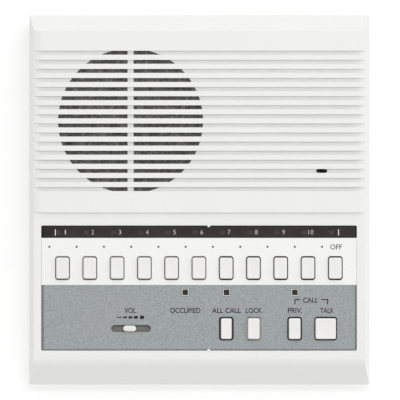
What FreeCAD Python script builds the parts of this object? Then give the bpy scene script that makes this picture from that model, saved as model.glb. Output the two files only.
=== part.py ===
"""Vintage desk intercom, a ten-station master set with a sloping face.

Lengths are in millimetres. The set lies on its four feet with +Z up, its width
along X and its length along Y (the loudspeaker end is at +Y). The origin is at
the middle of the outline, on the desk.

Most pieces are drawn in the frame of the face: x runs to the right, y up the
face towards the loudspeaker end and z out of the face. That frame is tipped by
the slope of the face when a piece is seated. The lower cover, the feet, the
amplifier board and what stands on it are drawn upright.
"""
import FreeCAD, Part
import Sketcher
import math
import os

doc = FreeCAD.newDocument("desk_intercom")
sheet = doc.addObject("Spreadsheet::Sheet", "dims")

SIZES = [
    # overall
    ("tilt", 6, "slope of the face, degrees"),
    ("case_width", 225, "width over the rim of the upper case"),
    ("case_length", 244.4, "length over the rim of the upper case"),
    ("rim_depth", 26, "depth of the rim below the lower face"),
    ("face_height", 52, "height of the middle of the face above the desk"),
    ("wall", 2.5, "wall thickness of the mouldings"),
    # upper case
    ("face_half_width", 109.25, "half width of the face before the side walls"),
    ("raised_half_width", 104.4, "half width of the raised field"),
    ("raised_step", 2, "height of the raised field"),
    ("raised_from", 8.4, "lower edge of the raised field below the middle"),
    ("raised_to", 111.4, "upper edge of the raised field above the middle"),
    ("top_lip", 22, "depth of the foot of the sloping rear end"),
    ("top_lip_inset", 0.7, "inset of the foot of the sloping rear end"),
    ("shoulder_corner", 109.33, "front shoulder corner below the middle"),
    ("shoulder_radius", 8, "radius of the front shoulder"),
    ("corner_radius", 1.2, "radius of the upright corners"),
    ("groove_pitch", 6, "pitch of the cross grooves"),
    ("groove_count", 16, "number of cross grooves"),
    ("groove_width", 2.6, "width of a cross groove"),
    ("groove_floor", 0.3, "floor of the grooves below the lower face"),
    ("groove_first", 7.1, "lowest groove above the middle"),
    ("grille_x", -45.4, "middle of the loudspeaker grille"),
    ("grille_y", 52.1, "middle of the loudspeaker grille"),
    ("grille_radius", 47.8, "radius of the slotted field"),
    ("grille_bar", 4, "width of the upright bar of the grille"),
    ("mic_x", 80.8, "middle of the microphone slot"),
    ("mic_y", 19.1, "middle of the microphone slot"),
    ("mic_slot_length", 7.3, "length of the microphone slot"),
    ("mic_slot_width", 2.6, "width of the microphone slot"),
    # panel recess
    ("recess_left", 104.4, "left side of the recess from the middle"),
    ("recess_right", 104, "right side of the recess from the middle"),
    ("recess_top", 16.9, "upper side of the recess below the middle"),
    ("recess_bottom", 99.5, "lower side of the recess below the middle"),
    ("recess_depth", 1.2, "depth of the recess"),
    ("recess_radius", 1, "corner radius of the recess"),
    ("insert_gap", 0.15, "gap around the inserts"),
    ("insert_thickness", 0.95, "thickness of the inserts"),
    ("window_bottom", 25.1, "lower edge of the call window"),
    ("plate_bottom", 56.2, "lower edge of the name plate"),
    ("nib_x", 6.2, "locating nibs from the middle"),
    ("nib_radius", 1.1, "radius of the locating nibs"),
    # keys
    ("key_pitch", 18, "pitch of the station keys"),
    ("key_count", 11, "number of station keys"),
    ("key_first", -90.3, "first station key from the middle"),
    ("key_row", 45.05, "row of station keys below the middle"),
    ("key_hole_width", 9.8, "opening of a station key"),
    ("key_hole_height", 15.9, "opening of a station key"),
    ("key_hole_radius", 2, "corner radius of the openings"),
    ("key_width", 8.4, "width of a station key"),
    ("key_height", 13.9, "height of a station key"),
    ("key_radius", 1.1, "corner radius of a key"),
    ("key_rise", 3, "station key above the face"),
    ("key_skirt", 7, "foot of the key cap below the face"),
    ("key_bevel", 0.95, "bevel around the top of a key"),
    ("flange_top", 3, "top of the retaining flange of a key below the face"),
    ("flange_thickness", 1.2, "thickness of the retaining flange"),
    ("flange_reach", 1.2, "retaining flange wider than its opening"),
    ("stem_width", 5, "width of a key stem"),
    ("stem_height", 9, "height of a key stem"),
    ("stem_foot", 21, "foot of the stem below the face"),
    ("stem_clearance", 0.15, "clearance of a stem in its guide"),
    ("function_row", 85, "row of function keys below the middle"),
    ("function_hole_height", 15.7, "opening of a function key"),
    ("call_x", 17.8, "all-call key from the middle"),
    ("call_width", 7.1, "width of the all-call key"),
    ("call_rise", 0.9, "all-call key above the face"),
    ("lock_x", 35.9, "locking key from the middle"),
    ("lock_width", 7.7, "width of the locking key"),
    ("lock_rise", 3.4, "locking key above the face"),
    ("privacy_x", 62.9, "privacy key from the middle"),
    ("privacy_width", 7.7, "width of the privacy key"),
    ("talk_x", 83.4, "talk key from the middle"),
    ("talk_hole_width", 15.1, "opening of the talk key"),
    ("talk_width", 13.5, "width of the talk key"),
    ("function_height", 13.7, "height of a function key"),
    # switches
    ("guide_top", 12.5, "top of the switch frame below the face"),
    ("guide_foot", 27.85, "foot of the switch frame below the face"),
    ("guide_height", 21, "depth of the switch frame along the face"),
    ("guide_half_length", 98.5, "half length of the switch frame"),
    ("guide_floor", 1.2, "floor under the springs"),
    ("bar_y", -38.4, "middle of the interlock bar"),
    ("bar_height", 4, "height of the interlock bar"),
    ("bar_thickness", 0.8, "thickness of the interlock bar"),
    ("bar_depth", 17.6, "middle of the interlock bar below the face"),
    ("housing_width", 13.6, "width of a function switch housing"),
    ("housing_height", 19, "depth of a function switch housing"),
    ("spring_width", 3, "width of a leaf spring"),
    ("spring_thickness", 0.3, "thickness of a leaf spring"),
    ("spring_tip", -21.06, "tip of a leaf spring, just under the stem"),
    # volume control
    ("volume_slot_left", 58.25, "left end of the volume slot"),
    ("volume_slot_right", 32.1, "right end of the volume slot"),
    ("volume_row", 84.9, "row of the volume slot below the middle"),
    ("volume_slot_width", 4.7, "width of the volume slot"),
    ("volume_x", -46, "volume knob at rest"),
    ("knob_length", 8.5, "length of the volume knob"),
    ("knob_width", 3.9, "width of the volume knob"),
    ("knob_rise", 2.2, "volume knob above the face"),
    ("knob_foot", 4.2, "foot of the volume knob below the face"),
    ("lever_width", 3, "width of the volume lever"),
    ("lever_thickness", 1, "thickness of the volume lever"),
    ("shutter_length", 45, "length of the dust shutter under the volume knob"),
    ("shutter_width", 8, "width of the dust shutter"),
    ("shutter_thickness", 0.4, "thickness of the dust shutter"),
    # lamps
    ("lamp_size", 3.7, "side of a station lamp"),
    ("lamp_offset", -2.4, "station lamp from its key"),
    ("lamp_row", 21.5, "row of station lamps below the middle"),
    ("status_row", 61.1, "row of status lamps below the middle"),
    ("status_size", 3.4, "side of a status lamp"),
    ("bezel_size", 5.2, "side of a status lamp bezel"),
    ("status_a", -9.3, "occupied lamp"),
    ("status_b", 17.9, "all-call lamp"),
    ("status_c", 63, "call lamp"),
    # boards
    ("board_thickness", 1.6, "thickness of the circuit boards"),
    ("board_half_length", 103, "half length of the switch board"),
    ("board_top", 33.5, "upper edge of the switch board below the middle"),
    ("board_bottom", 98.5, "lower edge of the switch board below the middle"),
    ("lamp_board_depth", 8.2, "lamp board below the face"),
    # loudspeaker
    ("speaker_radius", 51, "radius of the loudspeaker flange"),
    ("speaker_seat", 3.1, "seat of the loudspeaker below the face"),
    ("cloth_radius", 50.5, "radius of the grille cloth"),
    ("cloth_thickness", 0.5, "thickness of the grille cloth"),
    ("magnet_radius", 30, "radius of the magnet"),
    ("magnet_depth", 10, "thickness of the magnet"),
    # lower cover
    ("cover_inset", 1.3, "inset of the lower cover behind the rim"),
    ("foot_height", 3, "height of the rubber feet"),
    ("foot_radius", 6.5, "radius of the rubber feet"),
    ("foot_x", 88, "feet from the middle"),
    ("foot_y", 94, "feet from the middle"),
    ("tab_height", 2.2, "height of the locating tabs above the rim"),
    ("screw_x", 98, "case screws from the middle"),
    ("screw_top_y", 108, "upper case screws, up the face"),
    ("screw_bottom_y", -101, "lower case screws, down the face"),
    ("boss_radius", 3.6, "radius of the screw bosses"),
    ("pilot_radius", 1.3, "radius of the pilot holes"),
    ("boss_foot", 24, "foot of the screw bosses below the face"),
    ("mount_x", 83.5, "spacing of the bracket holes along the width"),
    ("mount_y", 90, "spacing of the bracket holes along the length"),
    ("mount_middle", 30, "middle of the bracket holes, towards the front"),
    ("mount_radius", 2.25, "radius of a bracket hole"),
    ("vent_length", 26, "length of a vent slot"),
    ("vent_width", 2.4, "width of a vent slot"),
    ("vent_pitch", 6, "pitch of the vent slots"),
    # connections
    ("strip_x", 46, "middle of the terminal strip"),
    ("strip_length", 94, "length of the terminal strip"),
    ("strip_height", 13, "height of the terminal strip"),
    ("strip_pitch", 7.6, "pitch of the terminals"),
    ("strip_z", 17.5, "middle height of the terminal strip"),
    ("inlet_x", -78, "power inlet from the middle"),
    ("inlet_z", 17, "height of the power inlet"),
    ("inlet_radius", 4, "radius of the power inlet barrel"),
]


class Size:
    """A number with the sheet expression it comes from."""

    def __init__(self, value, text):
        self.value = float(value)
        self.text = text

    def __add__(self, other):
        other = size(other)
        return Size(self.value + other.value, "(%s + %s)" % (self.text, other.text))

    def __sub__(self, other):
        other = size(other)
        return Size(self.value - other.value, "(%s - %s)" % (self.text, other.text))

    def __mul__(self, other):
        other = size(other)
        return Size(self.value * other.value, "(%s * %s)" % (self.text, other.text))

    def __truediv__(self, other):
        other = size(other)
        return Size(self.value / other.value, "(%s / %s)" % (self.text, other.text))

    def __radd__(self, other):
        return size(other) + self

    def __rsub__(self, other):
        return size(other) - self

    def __rmul__(self, other):
        return size(other) * self

    def __neg__(self):
        return Size(-self.value, "(0 - %s)" % self.text)


def size(item):
    if isinstance(item, Size):
        return item
    return Size(item, "(0 - %s)" % repr(-float(item)) if item < 0 else repr(float(item)))


class Dims:
    pass


g = Dims()
for row, (alias, number, note) in enumerate(SIZES, start=1):
    sheet.set("A%d" % row, note)
    sheet.set("B%d" % row, str(number))
    sheet.setAlias("B%d" % row, alias)
    setattr(g, alias, Size(number, "dims.%s" % alias))
doc.recompute()

sin_tilt = Size(math.sin(math.radians(g.tilt.value)), "sin(dims.tilt)")
cos_tilt = Size(math.cos(math.radians(g.tilt.value)), "cos(dims.tilt)")
tan_tilt = Size(math.tan(math.radians(g.tilt.value)), "tan(dims.tilt)")
face_y = -(g.rim_depth * sin_tilt)
face_z = g.face_height


def bind(item, prop, value):
    item.setExpression(prop, size(value).text)


def put(item, x=0, y=0, z=0):
    """Stand an object at a place in its own frame."""
    item.Placement.Base = FreeCAD.Vector(size(x).value, size(y).value, size(z).value)
    for axis, value in (("x", x), ("y", y), ("z", z)):
        if isinstance(value, Size) or value:
            bind(item, "Placement.Base.%s" % axis, value)


def seat(item, u=0, v=0, w=0):
    """Seat a finished piece that is drawn in the frame of the face."""
    u, v, w = size(u), size(v), size(w)
    x, y, z = u, face_y + v * cos_tilt - w * sin_tilt, face_z + v * sin_tilt + w * cos_tilt
    item.Placement = FreeCAD.Placement(
        FreeCAD.Vector(x.value, y.value, z.value),
        FreeCAD.Rotation(FreeCAD.Vector(1, 0, 0), g.tilt.value),
    )
    bind(item, "Placement.Base.x", x)
    bind(item, "Placement.Base.y", y)
    bind(item, "Placement.Base.z", z)
    bind(item, "Placement.Rotation.Angle", g.tilt)


def box(name, x, y, z, lx, ly, lz):
    """Block from its low corner."""
    item = doc.addObject("Part::Box", name)
    for prop, value in (("Length", lx), ("Width", ly), ("Height", lz)):
        setattr(item, prop, size(value).value)
        bind(item, prop, value)
    put(item, x, y, z)
    return item


def cyl(name, x, y, z, radius, length, axis="z"):
    """Cylinder from its foot, along +Z or +Y or +X."""
    item = doc.addObject("Part::Cylinder", name)
    item.Radius = size(radius).value
    item.Height = size(length).value
    bind(item, "Radius", radius)
    bind(item, "Height", length)
    if axis == "y":
        item.Placement.Rotation = FreeCAD.Rotation(FreeCAD.Vector(1, 0, 0), -90)
    if axis == "x":
        item.Placement.Rotation = FreeCAD.Rotation(FreeCAD.Vector(0, 1, 0), 90)
    put(item, x, y, z)
    return item


def cone(name, x, y, z, low, high, length):
    item = doc.addObject("Part::Cone", name)
    for prop, value in (("Radius1", low), ("Radius2", high), ("Height", length)):
        setattr(item, prop, size(value).value)
        bind(item, prop, value)
    put(item, x, y, z)
    return item


def group(name, items):
    item = doc.addObject("Part::Compound", name)
    item.Links = items
    return item


def cut(name, base, tools):
    item = doc.addObject("Part::Cut", name)
    item.Base = base
    item.Tool = tools[0] if len(tools) == 1 else group(name + "_tools", tools)
    return item


def fuse(name, items):
    item = doc.addObject("Part::MultiFuse", name)
    item.Shapes = items
    return item


def common(name, base, tool):
    item = doc.addObject("Part::Common", name)
    item.Base = base
    item.Tool = tool
    return item


# ---- bodies ---------------------------------------------------------------


def body(name):
    item = doc.addObject("PartDesign::Body", name)
    item.Label = name
    return item


def sketch(owner, role, name, offset=None):
    plane = [f for f in owner.Origin.OriginFeatures if f.Role == role][0]
    item = owner.newObject("Sketcher::SketchObject", name)
    item.AttachmentSupport = [(plane, "")]
    item.MapMode = "FlatFace"
    if offset is not None:
        item.AttachmentOffset = FreeCAD.Placement(FreeCAD.Vector(0, 0, size(offset).value), FreeCAD.Rotation())
        bind(item, "AttachmentOffset.Base.z", offset)
    return item


def hold(sk, kind, geo, point, value):
    """Distance of a sketch point from the sketch origin, from the sheet."""
    number = size(value).value
    if abs(number) < 1e-9:
        sk.addConstraint(Sketcher.Constraint("PointOnObject", geo, point, -2 if kind == "DistanceX" else -1))
        return
    if number > 0:
        index = sk.addConstraint(Sketcher.Constraint(kind, -1, 1, geo, point, number))
        sk.setExpression("Constraints[%d]" % index, size(value).text)
    else:
        index = sk.addConstraint(Sketcher.Constraint(kind, geo, point, -1, 1, -number))
        sk.setExpression("Constraints[%d]" % index, (-size(value)).text)


def polygon(sk, points):
    """Closed outline through the given points."""
    pts = [FreeCAD.Vector(size(x).value, size(y).value, 0) for x, y in points]
    first = sk.GeometryCount
    count = len(pts)
    for i in range(count):
        sk.addGeometry(Part.LineSegment(pts[i], pts[(i + 1) % count]), False)
    for i in range(count):
        sk.addConstraint(Sketcher.Constraint("Coincident", first + i, 2, first + (i + 1) % count, 1))
    for i, (x, y) in enumerate(points):
        hold(sk, "DistanceX", first + i, 1, x)
        hold(sk, "DistanceY", first + i, 1, y)


def rounded(sk, left, right, low, high, radius):
    """Rectangle with rounded corners, between two x and two y."""
    l, r, b, t, k = [size(v).value for v in (left, right, low, high, radius)]
    vec = FreeCAD.Vector
    first = sk.GeometryCount
    lines = [
        (vec(l + k, b, 0), vec(r - k, b, 0)),
        (vec(r, b + k, 0), vec(r, t - k, 0)),
        (vec(r - k, t, 0), vec(l + k, t, 0)),
        (vec(l, t - k, 0), vec(l, b + k, 0)),
    ]
    for a, c in lines:
        sk.addGeometry(Part.LineSegment(a, c), False)
    corners = [(r - k, b + k, -90), (r - k, t - k, 0), (l + k, t - k, 90), (l + k, b + k, 180)]
    for x, y, start in corners:
        arc = Part.ArcOfCircle(
            Part.Circle(vec(x, y, 0), vec(0, 0, 1), k), math.radians(start), math.radians(start + 90)
        )
        sk.addGeometry(arc, False)
    for i in range(4):
        sk.addConstraint(Sketcher.Constraint("Tangent", first + i, 2, first + 4 + i, 1))
        sk.addConstraint(Sketcher.Constraint("Tangent", first + 4 + i, 2, first + (i + 1) % 4, 1))
    sk.addConstraint(Sketcher.Constraint("Horizontal", first))
    sk.addConstraint(Sketcher.Constraint("Vertical", first + 1))
    for i in (5, 6, 7):
        sk.addConstraint(Sketcher.Constraint("Equal", first + 4, first + i))
    index = sk.addConstraint(Sketcher.Constraint("Radius", first + 4, k))
    sk.setExpression("Constraints[%d]" % index, size(radius).text)
    hold(sk, "DistanceY", first, 1, low)
    hold(sk, "DistanceX", first + 1, 1, right)
    hold(sk, "DistanceY", first + 2, 1, high)
    hold(sk, "DistanceX", first + 3, 1, left)


def stadium(sk, left, right, middle, width):
    """Slot with round ends, lying along x."""
    l, r, m, half = [size(v).value for v in (left, right, middle, size(width) / 2)]
    vec = FreeCAD.Vector
    first = sk.GeometryCount
    sk.addGeometry(Part.LineSegment(vec(l + half, m - half, 0), vec(r - half, m - half, 0)), False)
    sk.addGeometry(Part.LineSegment(vec(r - half, m + half, 0), vec(l + half, m + half, 0)), False)
    for x, start in ((r - half, -90), (l + half, 90)):
        arc = Part.ArcOfCircle(
            Part.Circle(vec(x, m, 0), vec(0, 0, 1), half), math.radians(start), math.radians(start + 180)
        )
        sk.addGeometry(arc, False)
    sk.addConstraint(Sketcher.Constraint("Tangent", first, 2, first + 2, 1))
    sk.addConstraint(Sketcher.Constraint("Tangent", first + 2, 2, first + 1, 1))
    sk.addConstraint(Sketcher.Constraint("Tangent", first + 1, 2, first + 3, 1))
    sk.addConstraint(Sketcher.Constraint("Tangent", first + 3, 2, first, 1))
    sk.addConstraint(Sketcher.Constraint("Horizontal", first))
    index = sk.addConstraint(Sketcher.Constraint("Radius", first + 2, half))
    sk.setExpression("Constraints[%d]" % index, (size(width) / 2).text)
    hold(sk, "DistanceX", first + 2, 3, size(right) - size(width) / 2)
    hold(sk, "DistanceX", first + 3, 3, size(left) + size(width) / 2)
    hold(sk, "DistanceY", first + 2, 3, middle)


def circle(sk, x, y, radius):
    first = sk.GeometryCount
    centre = FreeCAD.Vector(size(x).value, size(y).value, 0)
    sk.addGeometry(Part.Circle(centre, FreeCAD.Vector(0, 0, 1), size(radius).value), False)
    index = sk.addConstraint(Sketcher.Constraint("Radius", first, size(radius).value))
    sk.setExpression("Constraints[%d]" % index, size(radius).text)
    hold(sk, "DistanceX", first, 3, x)
    hold(sk, "DistanceY", first, 3, y)


def feature(owner, kind, name, sk, length, reverse=False, middle=False):
    item = owner.newObject("PartDesign::" + kind, name)
    item.Profile = sk
    item.Length = size(length).value
    bind(item, "Length", length)
    item.Reversed = reverse
    if middle:
        item.SideType = "Symmetric"
    sk.Visibility = False
    owner.Tip = item
    return item


def pad(owner, name, sk, length, reverse=False, middle=False):
    return feature(owner, "Pad", name, sk, length, reverse, middle)


def pocket(owner, name, sk, length, reverse=False, middle=False):
    """Pocket, checked to have taken material away."""
    before = owner.Tip
    doc.recompute()
    volume = before.Shape.Volume
    item = feature(owner, "Pocket", name, sk, length, reverse, middle)
    doc.recompute()
    if item.Shape.Volume > volume - 0.01:
        raise ValueError("%s cut nothing" % name)
    return item


def row(owner, name, source, axis_role, span, count):
    """Repeat one feature along an axis of the body."""
    axis = [f for f in owner.Origin.OriginFeatures if f.Role == axis_role][0]
    item = owner.newObject("PartDesign::LinearPattern", name)
    item.Originals = [source]
    item.Direction = (axis, [""])
    item.Length = size(span).value
    bind(item, "Length", span)
    item.Occurrences = int(count.value)
    bind(item, "Occurrences", count)
    owner.Tip = item
    return item


def edges(shape, test):
    names = []
    for number, edge in enumerate(shape.Edges, start=1):
        if len(edge.Vertexes) == 2 and all(test(v.Point) for v in edge.Vertexes):
            names.append("Edge%d" % number)
    return names


def dress(owner, kind, name, test, amount):
    """Fillet or chamfer on the edges whose ends pass the test."""
    doc.recompute()
    base = owner.Tip
    names = edges(base.Shape, test)
    if not names:
        raise ValueError("no edge for %s" % name)
    item = owner.newObject("PartDesign::" + kind, name)
    item.Base = (base, names)
    prop = "Radius" if kind == "Fillet" else "Size"
    setattr(item, prop, size(amount).value)
    bind(item, prop, amount)
    owner.Tip = item
    doc.recompute()
    return item


def near(a, b, slack=0.02):
    return abs(a - size(b).value) < slack


NODES = []


def node(item, name):
    item.Label = name
    NODES.append((name, item))
    return item


# ---- upper case -----------------------------------------------------------
case = body("case_blank")
sk = sketch(case, "YZ_Plane", "case_profile")
polygon(sk, [
    (-(g.case_length / 2), -g.rim_depth),
    (-g.shoulder_corner, 0),
    (-g.raised_from, 0),
    (-g.raised_from, g.raised_step),
    (g.raised_to, g.raised_step),
    (g.case_length / 2 - g.top_lip_inset, -g.top_lip),
    (g.case_length / 2, -g.rim_depth),
])
pad(case, "case_block", sk, g.case_width, middle=True)
dress(case, "Fillet", "case_shoulder", lambda p: near(p.y, -g.shoulder_corner) and near(p.z, 0), g.shoulder_radius)
sk = sketch(case, "XZ_Plane", "case_sides")
for side in (1, -1):
    polygon(sk, [
        (g.raised_half_width * side, 6),
        (g.raised_half_width * side, g.raised_step),
        (g.face_half_width * side, 0),
        (g.case_width / 2 * side, -g.rim_depth),
        (g.case_width / 2 * side, -g.rim_depth - 4),
        ((g.case_width / 2 + 8) * side, -g.rim_depth - 4),
        ((g.case_width / 2 + 8) * side, 6),
    ])
pocket(case, "case_side_cut", sk, 300, middle=True)
sk = sketch(case, "YZ_Plane", "case_cavity")
polygon(sk, [
    (-(g.case_length / 2) + g.wall + 0.3, -g.rim_depth - 1),
    (-g.shoulder_corner + g.wall + 1.2, -g.wall),
    (g.raised_to - g.wall + 0.8, -g.wall),
    (g.case_length / 2 - g.wall - 0.2, -g.rim_depth - 1),
])
pocket(case, "case_hollow", sk, (g.face_half_width - g.wall) * 2, middle=True)
sk = sketch(case, "XZ_Plane", "case_side_relief")
for side in (1, -1):
    polygon(sk, [
        ((g.face_half_width - g.wall - 0.5) * side, -g.wall - 0.5),
        ((g.case_width / 2 - g.wall) * side, -g.rim_depth - 1),
        ((g.face_half_width - g.wall - 0.5) * side, -g.rim_depth - 1),
    ])
pocket(case, "case_side_hollow", sk, g.raised_to * 2 - 10, middle=True)
sk = sketch(case, "XY_Plane", "recess_outline", 0)
rounded(sk, -g.recess_left, g.recess_right, -g.recess_bottom, -g.recess_top, g.recess_radius)
pocket(case, "panel_recess", sk, g.recess_depth)
sk = sketch(case, "XY_Plane", "groove_outline", g.raised_step + 1)
polygon(sk, [
    (-(g.case_width / 2) - 1, g.groove_first - g.groove_width / 2),
    (g.case_width / 2 + 1, g.groove_first - g.groove_width / 2),
    (g.case_width / 2 + 1, g.groove_first + g.groove_width / 2),
    (-(g.case_width / 2) - 1, g.groove_first + g.groove_width / 2),
])
groove = pocket(case, "cross_groove", sk, g.raised_step + 1 + g.groove_floor)
row(case, "cross_grooves", groove, "Y_Axis", g.groove_pitch * (g.groove_count - 1), g.groove_count)
doc.recompute()
sk = sketch(case, "XY_Plane", "station_hole", 0)
rounded(sk, g.key_first - g.key_hole_width / 2 - 0.2, g.key_first + g.key_hole_width / 2 + 0.2,
        -g.key_row - g.key_hole_height / 2 - 0.2, -g.key_row + g.key_hole_height / 2 + 0.2, g.key_hole_radius)
hole = pocket(case, "station_opening", sk, 4)
row(case, "station_openings", hole, "X_Axis", g.key_pitch * (g.key_count - 1), g.key_count)
doc.recompute()
sk = sketch(case, "XY_Plane", "lamp_hole", 0)
rounded(sk, g.key_first + g.lamp_offset - g.lamp_size / 2 - 0.3, g.key_first + g.lamp_offset + g.lamp_size / 2 + 0.3,
        -g.lamp_row - g.lamp_size / 2 - 0.3, -g.lamp_row + g.lamp_size / 2 + 0.3, 0.3)
hole = pocket(case, "lamp_opening", sk, 4)
row(case, "lamp_openings", hole, "X_Axis", g.key_pitch * (g.key_count - 1), g.key_count)
doc.recompute()
FUNCTION = [
    ("all_call_key", g.call_x, g.call_width, g.key_hole_width, g.call_rise),
    ("lock_key", g.lock_x, g.lock_width, g.key_hole_width, g.lock_rise),
    ("priv_key", g.privacy_x, g.privacy_width, g.key_hole_width, g.key_rise),
    ("talk_key", g.talk_x, g.talk_width, g.talk_hole_width, g.key_rise),
]
sk = sketch(case, "XY_Plane", "function_holes", 0)
for _, x, _, opening, _ in FUNCTION:
    rounded(sk, x - opening / 2 - 0.2, x + opening / 2 + 0.2, -g.function_row - g.function_hole_height / 2 - 0.2,
            -g.function_row + g.function_hole_height / 2 + 0.2, g.key_hole_radius)
stadium(sk, -g.volume_slot_left - 0.4, -g.volume_slot_right + 0.4, -g.volume_row, g.volume_slot_width + 0.8)
for x in (g.status_a, g.status_b, g.status_c):
    rounded(sk, x - g.bezel_size / 2 - 0.1, x + g.bezel_size / 2 + 0.1, -g.status_row - g.bezel_size / 2 - 0.1,
            -g.status_row + g.bezel_size / 2 + 0.1, 0.4)
pocket(case, "function_openings", sk, 4)
sk = sketch(case, "XY_Plane", "mic_hole", 1)
stadium(sk, g.mic_x - g.mic_slot_length / 2, g.mic_x + g.mic_slot_length / 2, g.mic_y, g.mic_slot_width)
pocket(case, "mic_opening", sk, 6)

slots = [box("slot_%02d" % i, g.grille_x - g.grille_radius - 1, g.groove_first - g.groove_width / 2 + g.groove_pitch * i,
             -4, g.grille_radius * 2 + 2, g.groove_width, 8) for i in range(16)]
field = cut("slot_field", cyl("slot_disc", g.grille_x, g.grille_y, -3.5, g.grille_radius, 7),
            [box("slot_bar", g.grille_x - g.grille_bar / 2, g.grille_y - g.grille_radius - 1, -4, g.grille_bar,
                 g.grille_radius * 2 + 2, 8)])
openings = common("grille_openings", group("slot_rows", slots), field)

SCREWS = [(sx, y) for y in (g.screw_top_y, g.screw_bottom_y) for sx in (1, -1)]
added, taken = [], [openings]
for i, (side, y) in enumerate(SCREWS):
    added.append(cyl("case_boss_%d" % i, g.screw_x * side, y, -g.boss_foot, g.boss_radius, g.boss_foot - 1.5))
    taken.append(cyl("case_pilot_%d" % i, g.screw_x * side, y, -g.boss_foot - 1, g.pilot_radius, g.boss_foot - 4))
# locating wall around the loudspeaker and the posts of its clips
added.append(cut("speaker_wall", cyl("speaker_wall_out", g.grille_x, g.grille_y, -4.1, g.speaker_radius + 2.2, 2.2),
                 [cyl("speaker_wall_in", g.grille_x, g.grille_y, -5, g.speaker_radius + 0.6, 4)]))
CLIPS = [(g.grille_x + 40.6 * a, g.grille_y + 40.6 * b) for a, b in ((1, 1), (1, -1), (-1, -1), (-1, 1))]
for i, (x, y) in enumerate(CLIPS):
    added.append(cyl("clip_post_%d" % i, x, y, -4.15, 3.4, 2.2))
    taken.append(cyl("clip_pilot_%d" % i, x, y, -5, 0.9, 2.8))
# posts of the switch board
POSTS = [(-99.3, -74), (-70, -74), (-8, -80), (49.4, -80), (98.5, -74)]
for i, (x, y) in enumerate(POSTS):
    added.append(cyl("board_post_%d" % i, x, y, -27.9, 2.6, 26.4))
    taken.append(cyl("board_pilot_%d" % i, x, y, -29, 0.9, 8))
# posts of the lamp board, with staked pins
LAMP_POSTS = [(-84, -26), (0.5, -26), (78, -26)]
for i, (x, y) in enumerate(LAMP_POSTS):
    added.append(cyl("lamp_post_%d" % i, x, y, -8.15, 2.2, 6.6))
    added.append(cyl("lamp_pin_%d" % i, x, y, -10.4, 1.4, 3))
# locating nibs at the two long sides of the recess
for i, y in enumerate((-g.recess_top, -g.recess_bottom)):
    added.append(cyl("nib_%d" % i, g.nib_x, y, -2, g.nib_radius, 1.75))
# collar of the microphone
added.append(cut("mic_collar", cyl("mic_collar_out", g.mic_x, g.mic_y, -7, 7.2, 5.5),
                 [cyl("mic_collar_in", g.mic_x, g.mic_y, -8, 6.1, 7)]))
front = cut("case_front", fuse("case_mass", [case] + added), taken)
node(front, "front_case")
seat(front)

# ---- inserts of the recess ------------------------------------------------
SEAT = -g.recess_depth + 0.02


def insert(name, top, bottom, low_corners=False, corner=0.3):
    """Flat insert of the recess between two edges."""
    item = body(name + "_plate")
    sk = sketch(item, "XY_Plane", name + "_outline", SEAT)
    rounded(sk, -g.recess_left + g.insert_gap, g.recess_right - g.insert_gap, bottom, top,
            size(0.8) if low_corners else size(corner))
    pad(item, name + "_pad", sk, g.insert_thickness)
    return item


window = insert("window", -g.recess_top - g.insert_gap, -g.window_bottom + 0.03, corner=0.75)
window = cut("window_cut", window, [cyl("window_notch", g.nib_x, -g.recess_top, -2, g.nib_radius + 0.12, 3)])
node(window, "call_window")
seat(window)

plate = insert("name", -g.window_bottom - 0.03, -g.plate_bottom + 0.03)
sk = sketch(plate, "XY_Plane", "plate_hole", 0)
rounded(sk, g.key_first - g.key_hole_width / 2, g.key_first + g.key_hole_width / 2,
        -g.key_row - g.key_hole_height / 2, -g.key_row + g.key_hole_height / 2, g.key_hole_radius)
hole = pocket(plate, "plate_opening", sk, 3)
row(plate, "plate_openings", hole, "X_Axis", g.key_pitch * (g.key_count - 1), g.key_count)
node(plate, "name_plate")
seat(plate)

panel = insert("control", -g.plate_bottom - 0.03, -g.recess_bottom + g.insert_gap, True)
sk = sketch(panel, "XY_Plane", "panel_holes", 0)
for _, x, _, opening, _ in FUNCTION:
    rounded(sk, x - opening / 2, x + opening / 2, -g.function_row - g.function_hole_height / 2,
            -g.function_row + g.function_hole_height / 2, g.key_hole_radius)
stadium(sk, -g.volume_slot_left, -g.volume_slot_right, -g.volume_row, g.volume_slot_width)
for x in (g.status_a, g.status_b, g.status_c):
    rounded(sk, x - g.bezel_size / 2, x + g.bezel_size / 2, -g.status_row - g.bezel_size / 2,
            -g.status_row + g.bezel_size / 2, 0.4)
pocket(panel, "panel_openings", sk, 3)
panel = cut("panel_cut", panel, [cyl("panel_notch", g.nib_x, -g.recess_bottom, -2, g.nib_radius + 0.12, 3)])
node(panel, "control_panel")
seat(panel)

# ---- lamps ----------------------------------------------------------------
lamps = []
for i in range(11):
    x = g.key_first + g.key_pitch * i + g.lamp_offset
    lamps.append(fuse("lamp_%02d" % i, [
        box("lamp_%02d_head" % i, x - g.lamp_size / 2, -g.lamp_row - g.lamp_size / 2, -g.lamp_board_depth + 0.6,
            g.lamp_size, g.lamp_size, g.lamp_board_depth - 2),
        box("lamp_%02d_base" % i, x - g.lamp_size / 2 - 0.2, -g.lamp_row - g.lamp_size / 2 - 0.2,
            -g.lamp_board_depth, g.lamp_size + 0.4, g.lamp_size + 0.4, 1.4)]))
node(group("station_lamp_row", lamps), "station_leds")
seat(NODES[-1][1])

board = box("lamp_board_blank", -101, -27.5, -g.lamp_board_depth - g.board_thickness, 202, 11, g.board_thickness)
node(cut("lamp_board_cut", board, [cyl("lamp_board_hole_%d" % i, x, y, -12, 1.6, 6) for i, (x, y) in enumerate(LAMP_POSTS)]), "lamp_board")
seat(NODES[-1][1])

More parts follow.
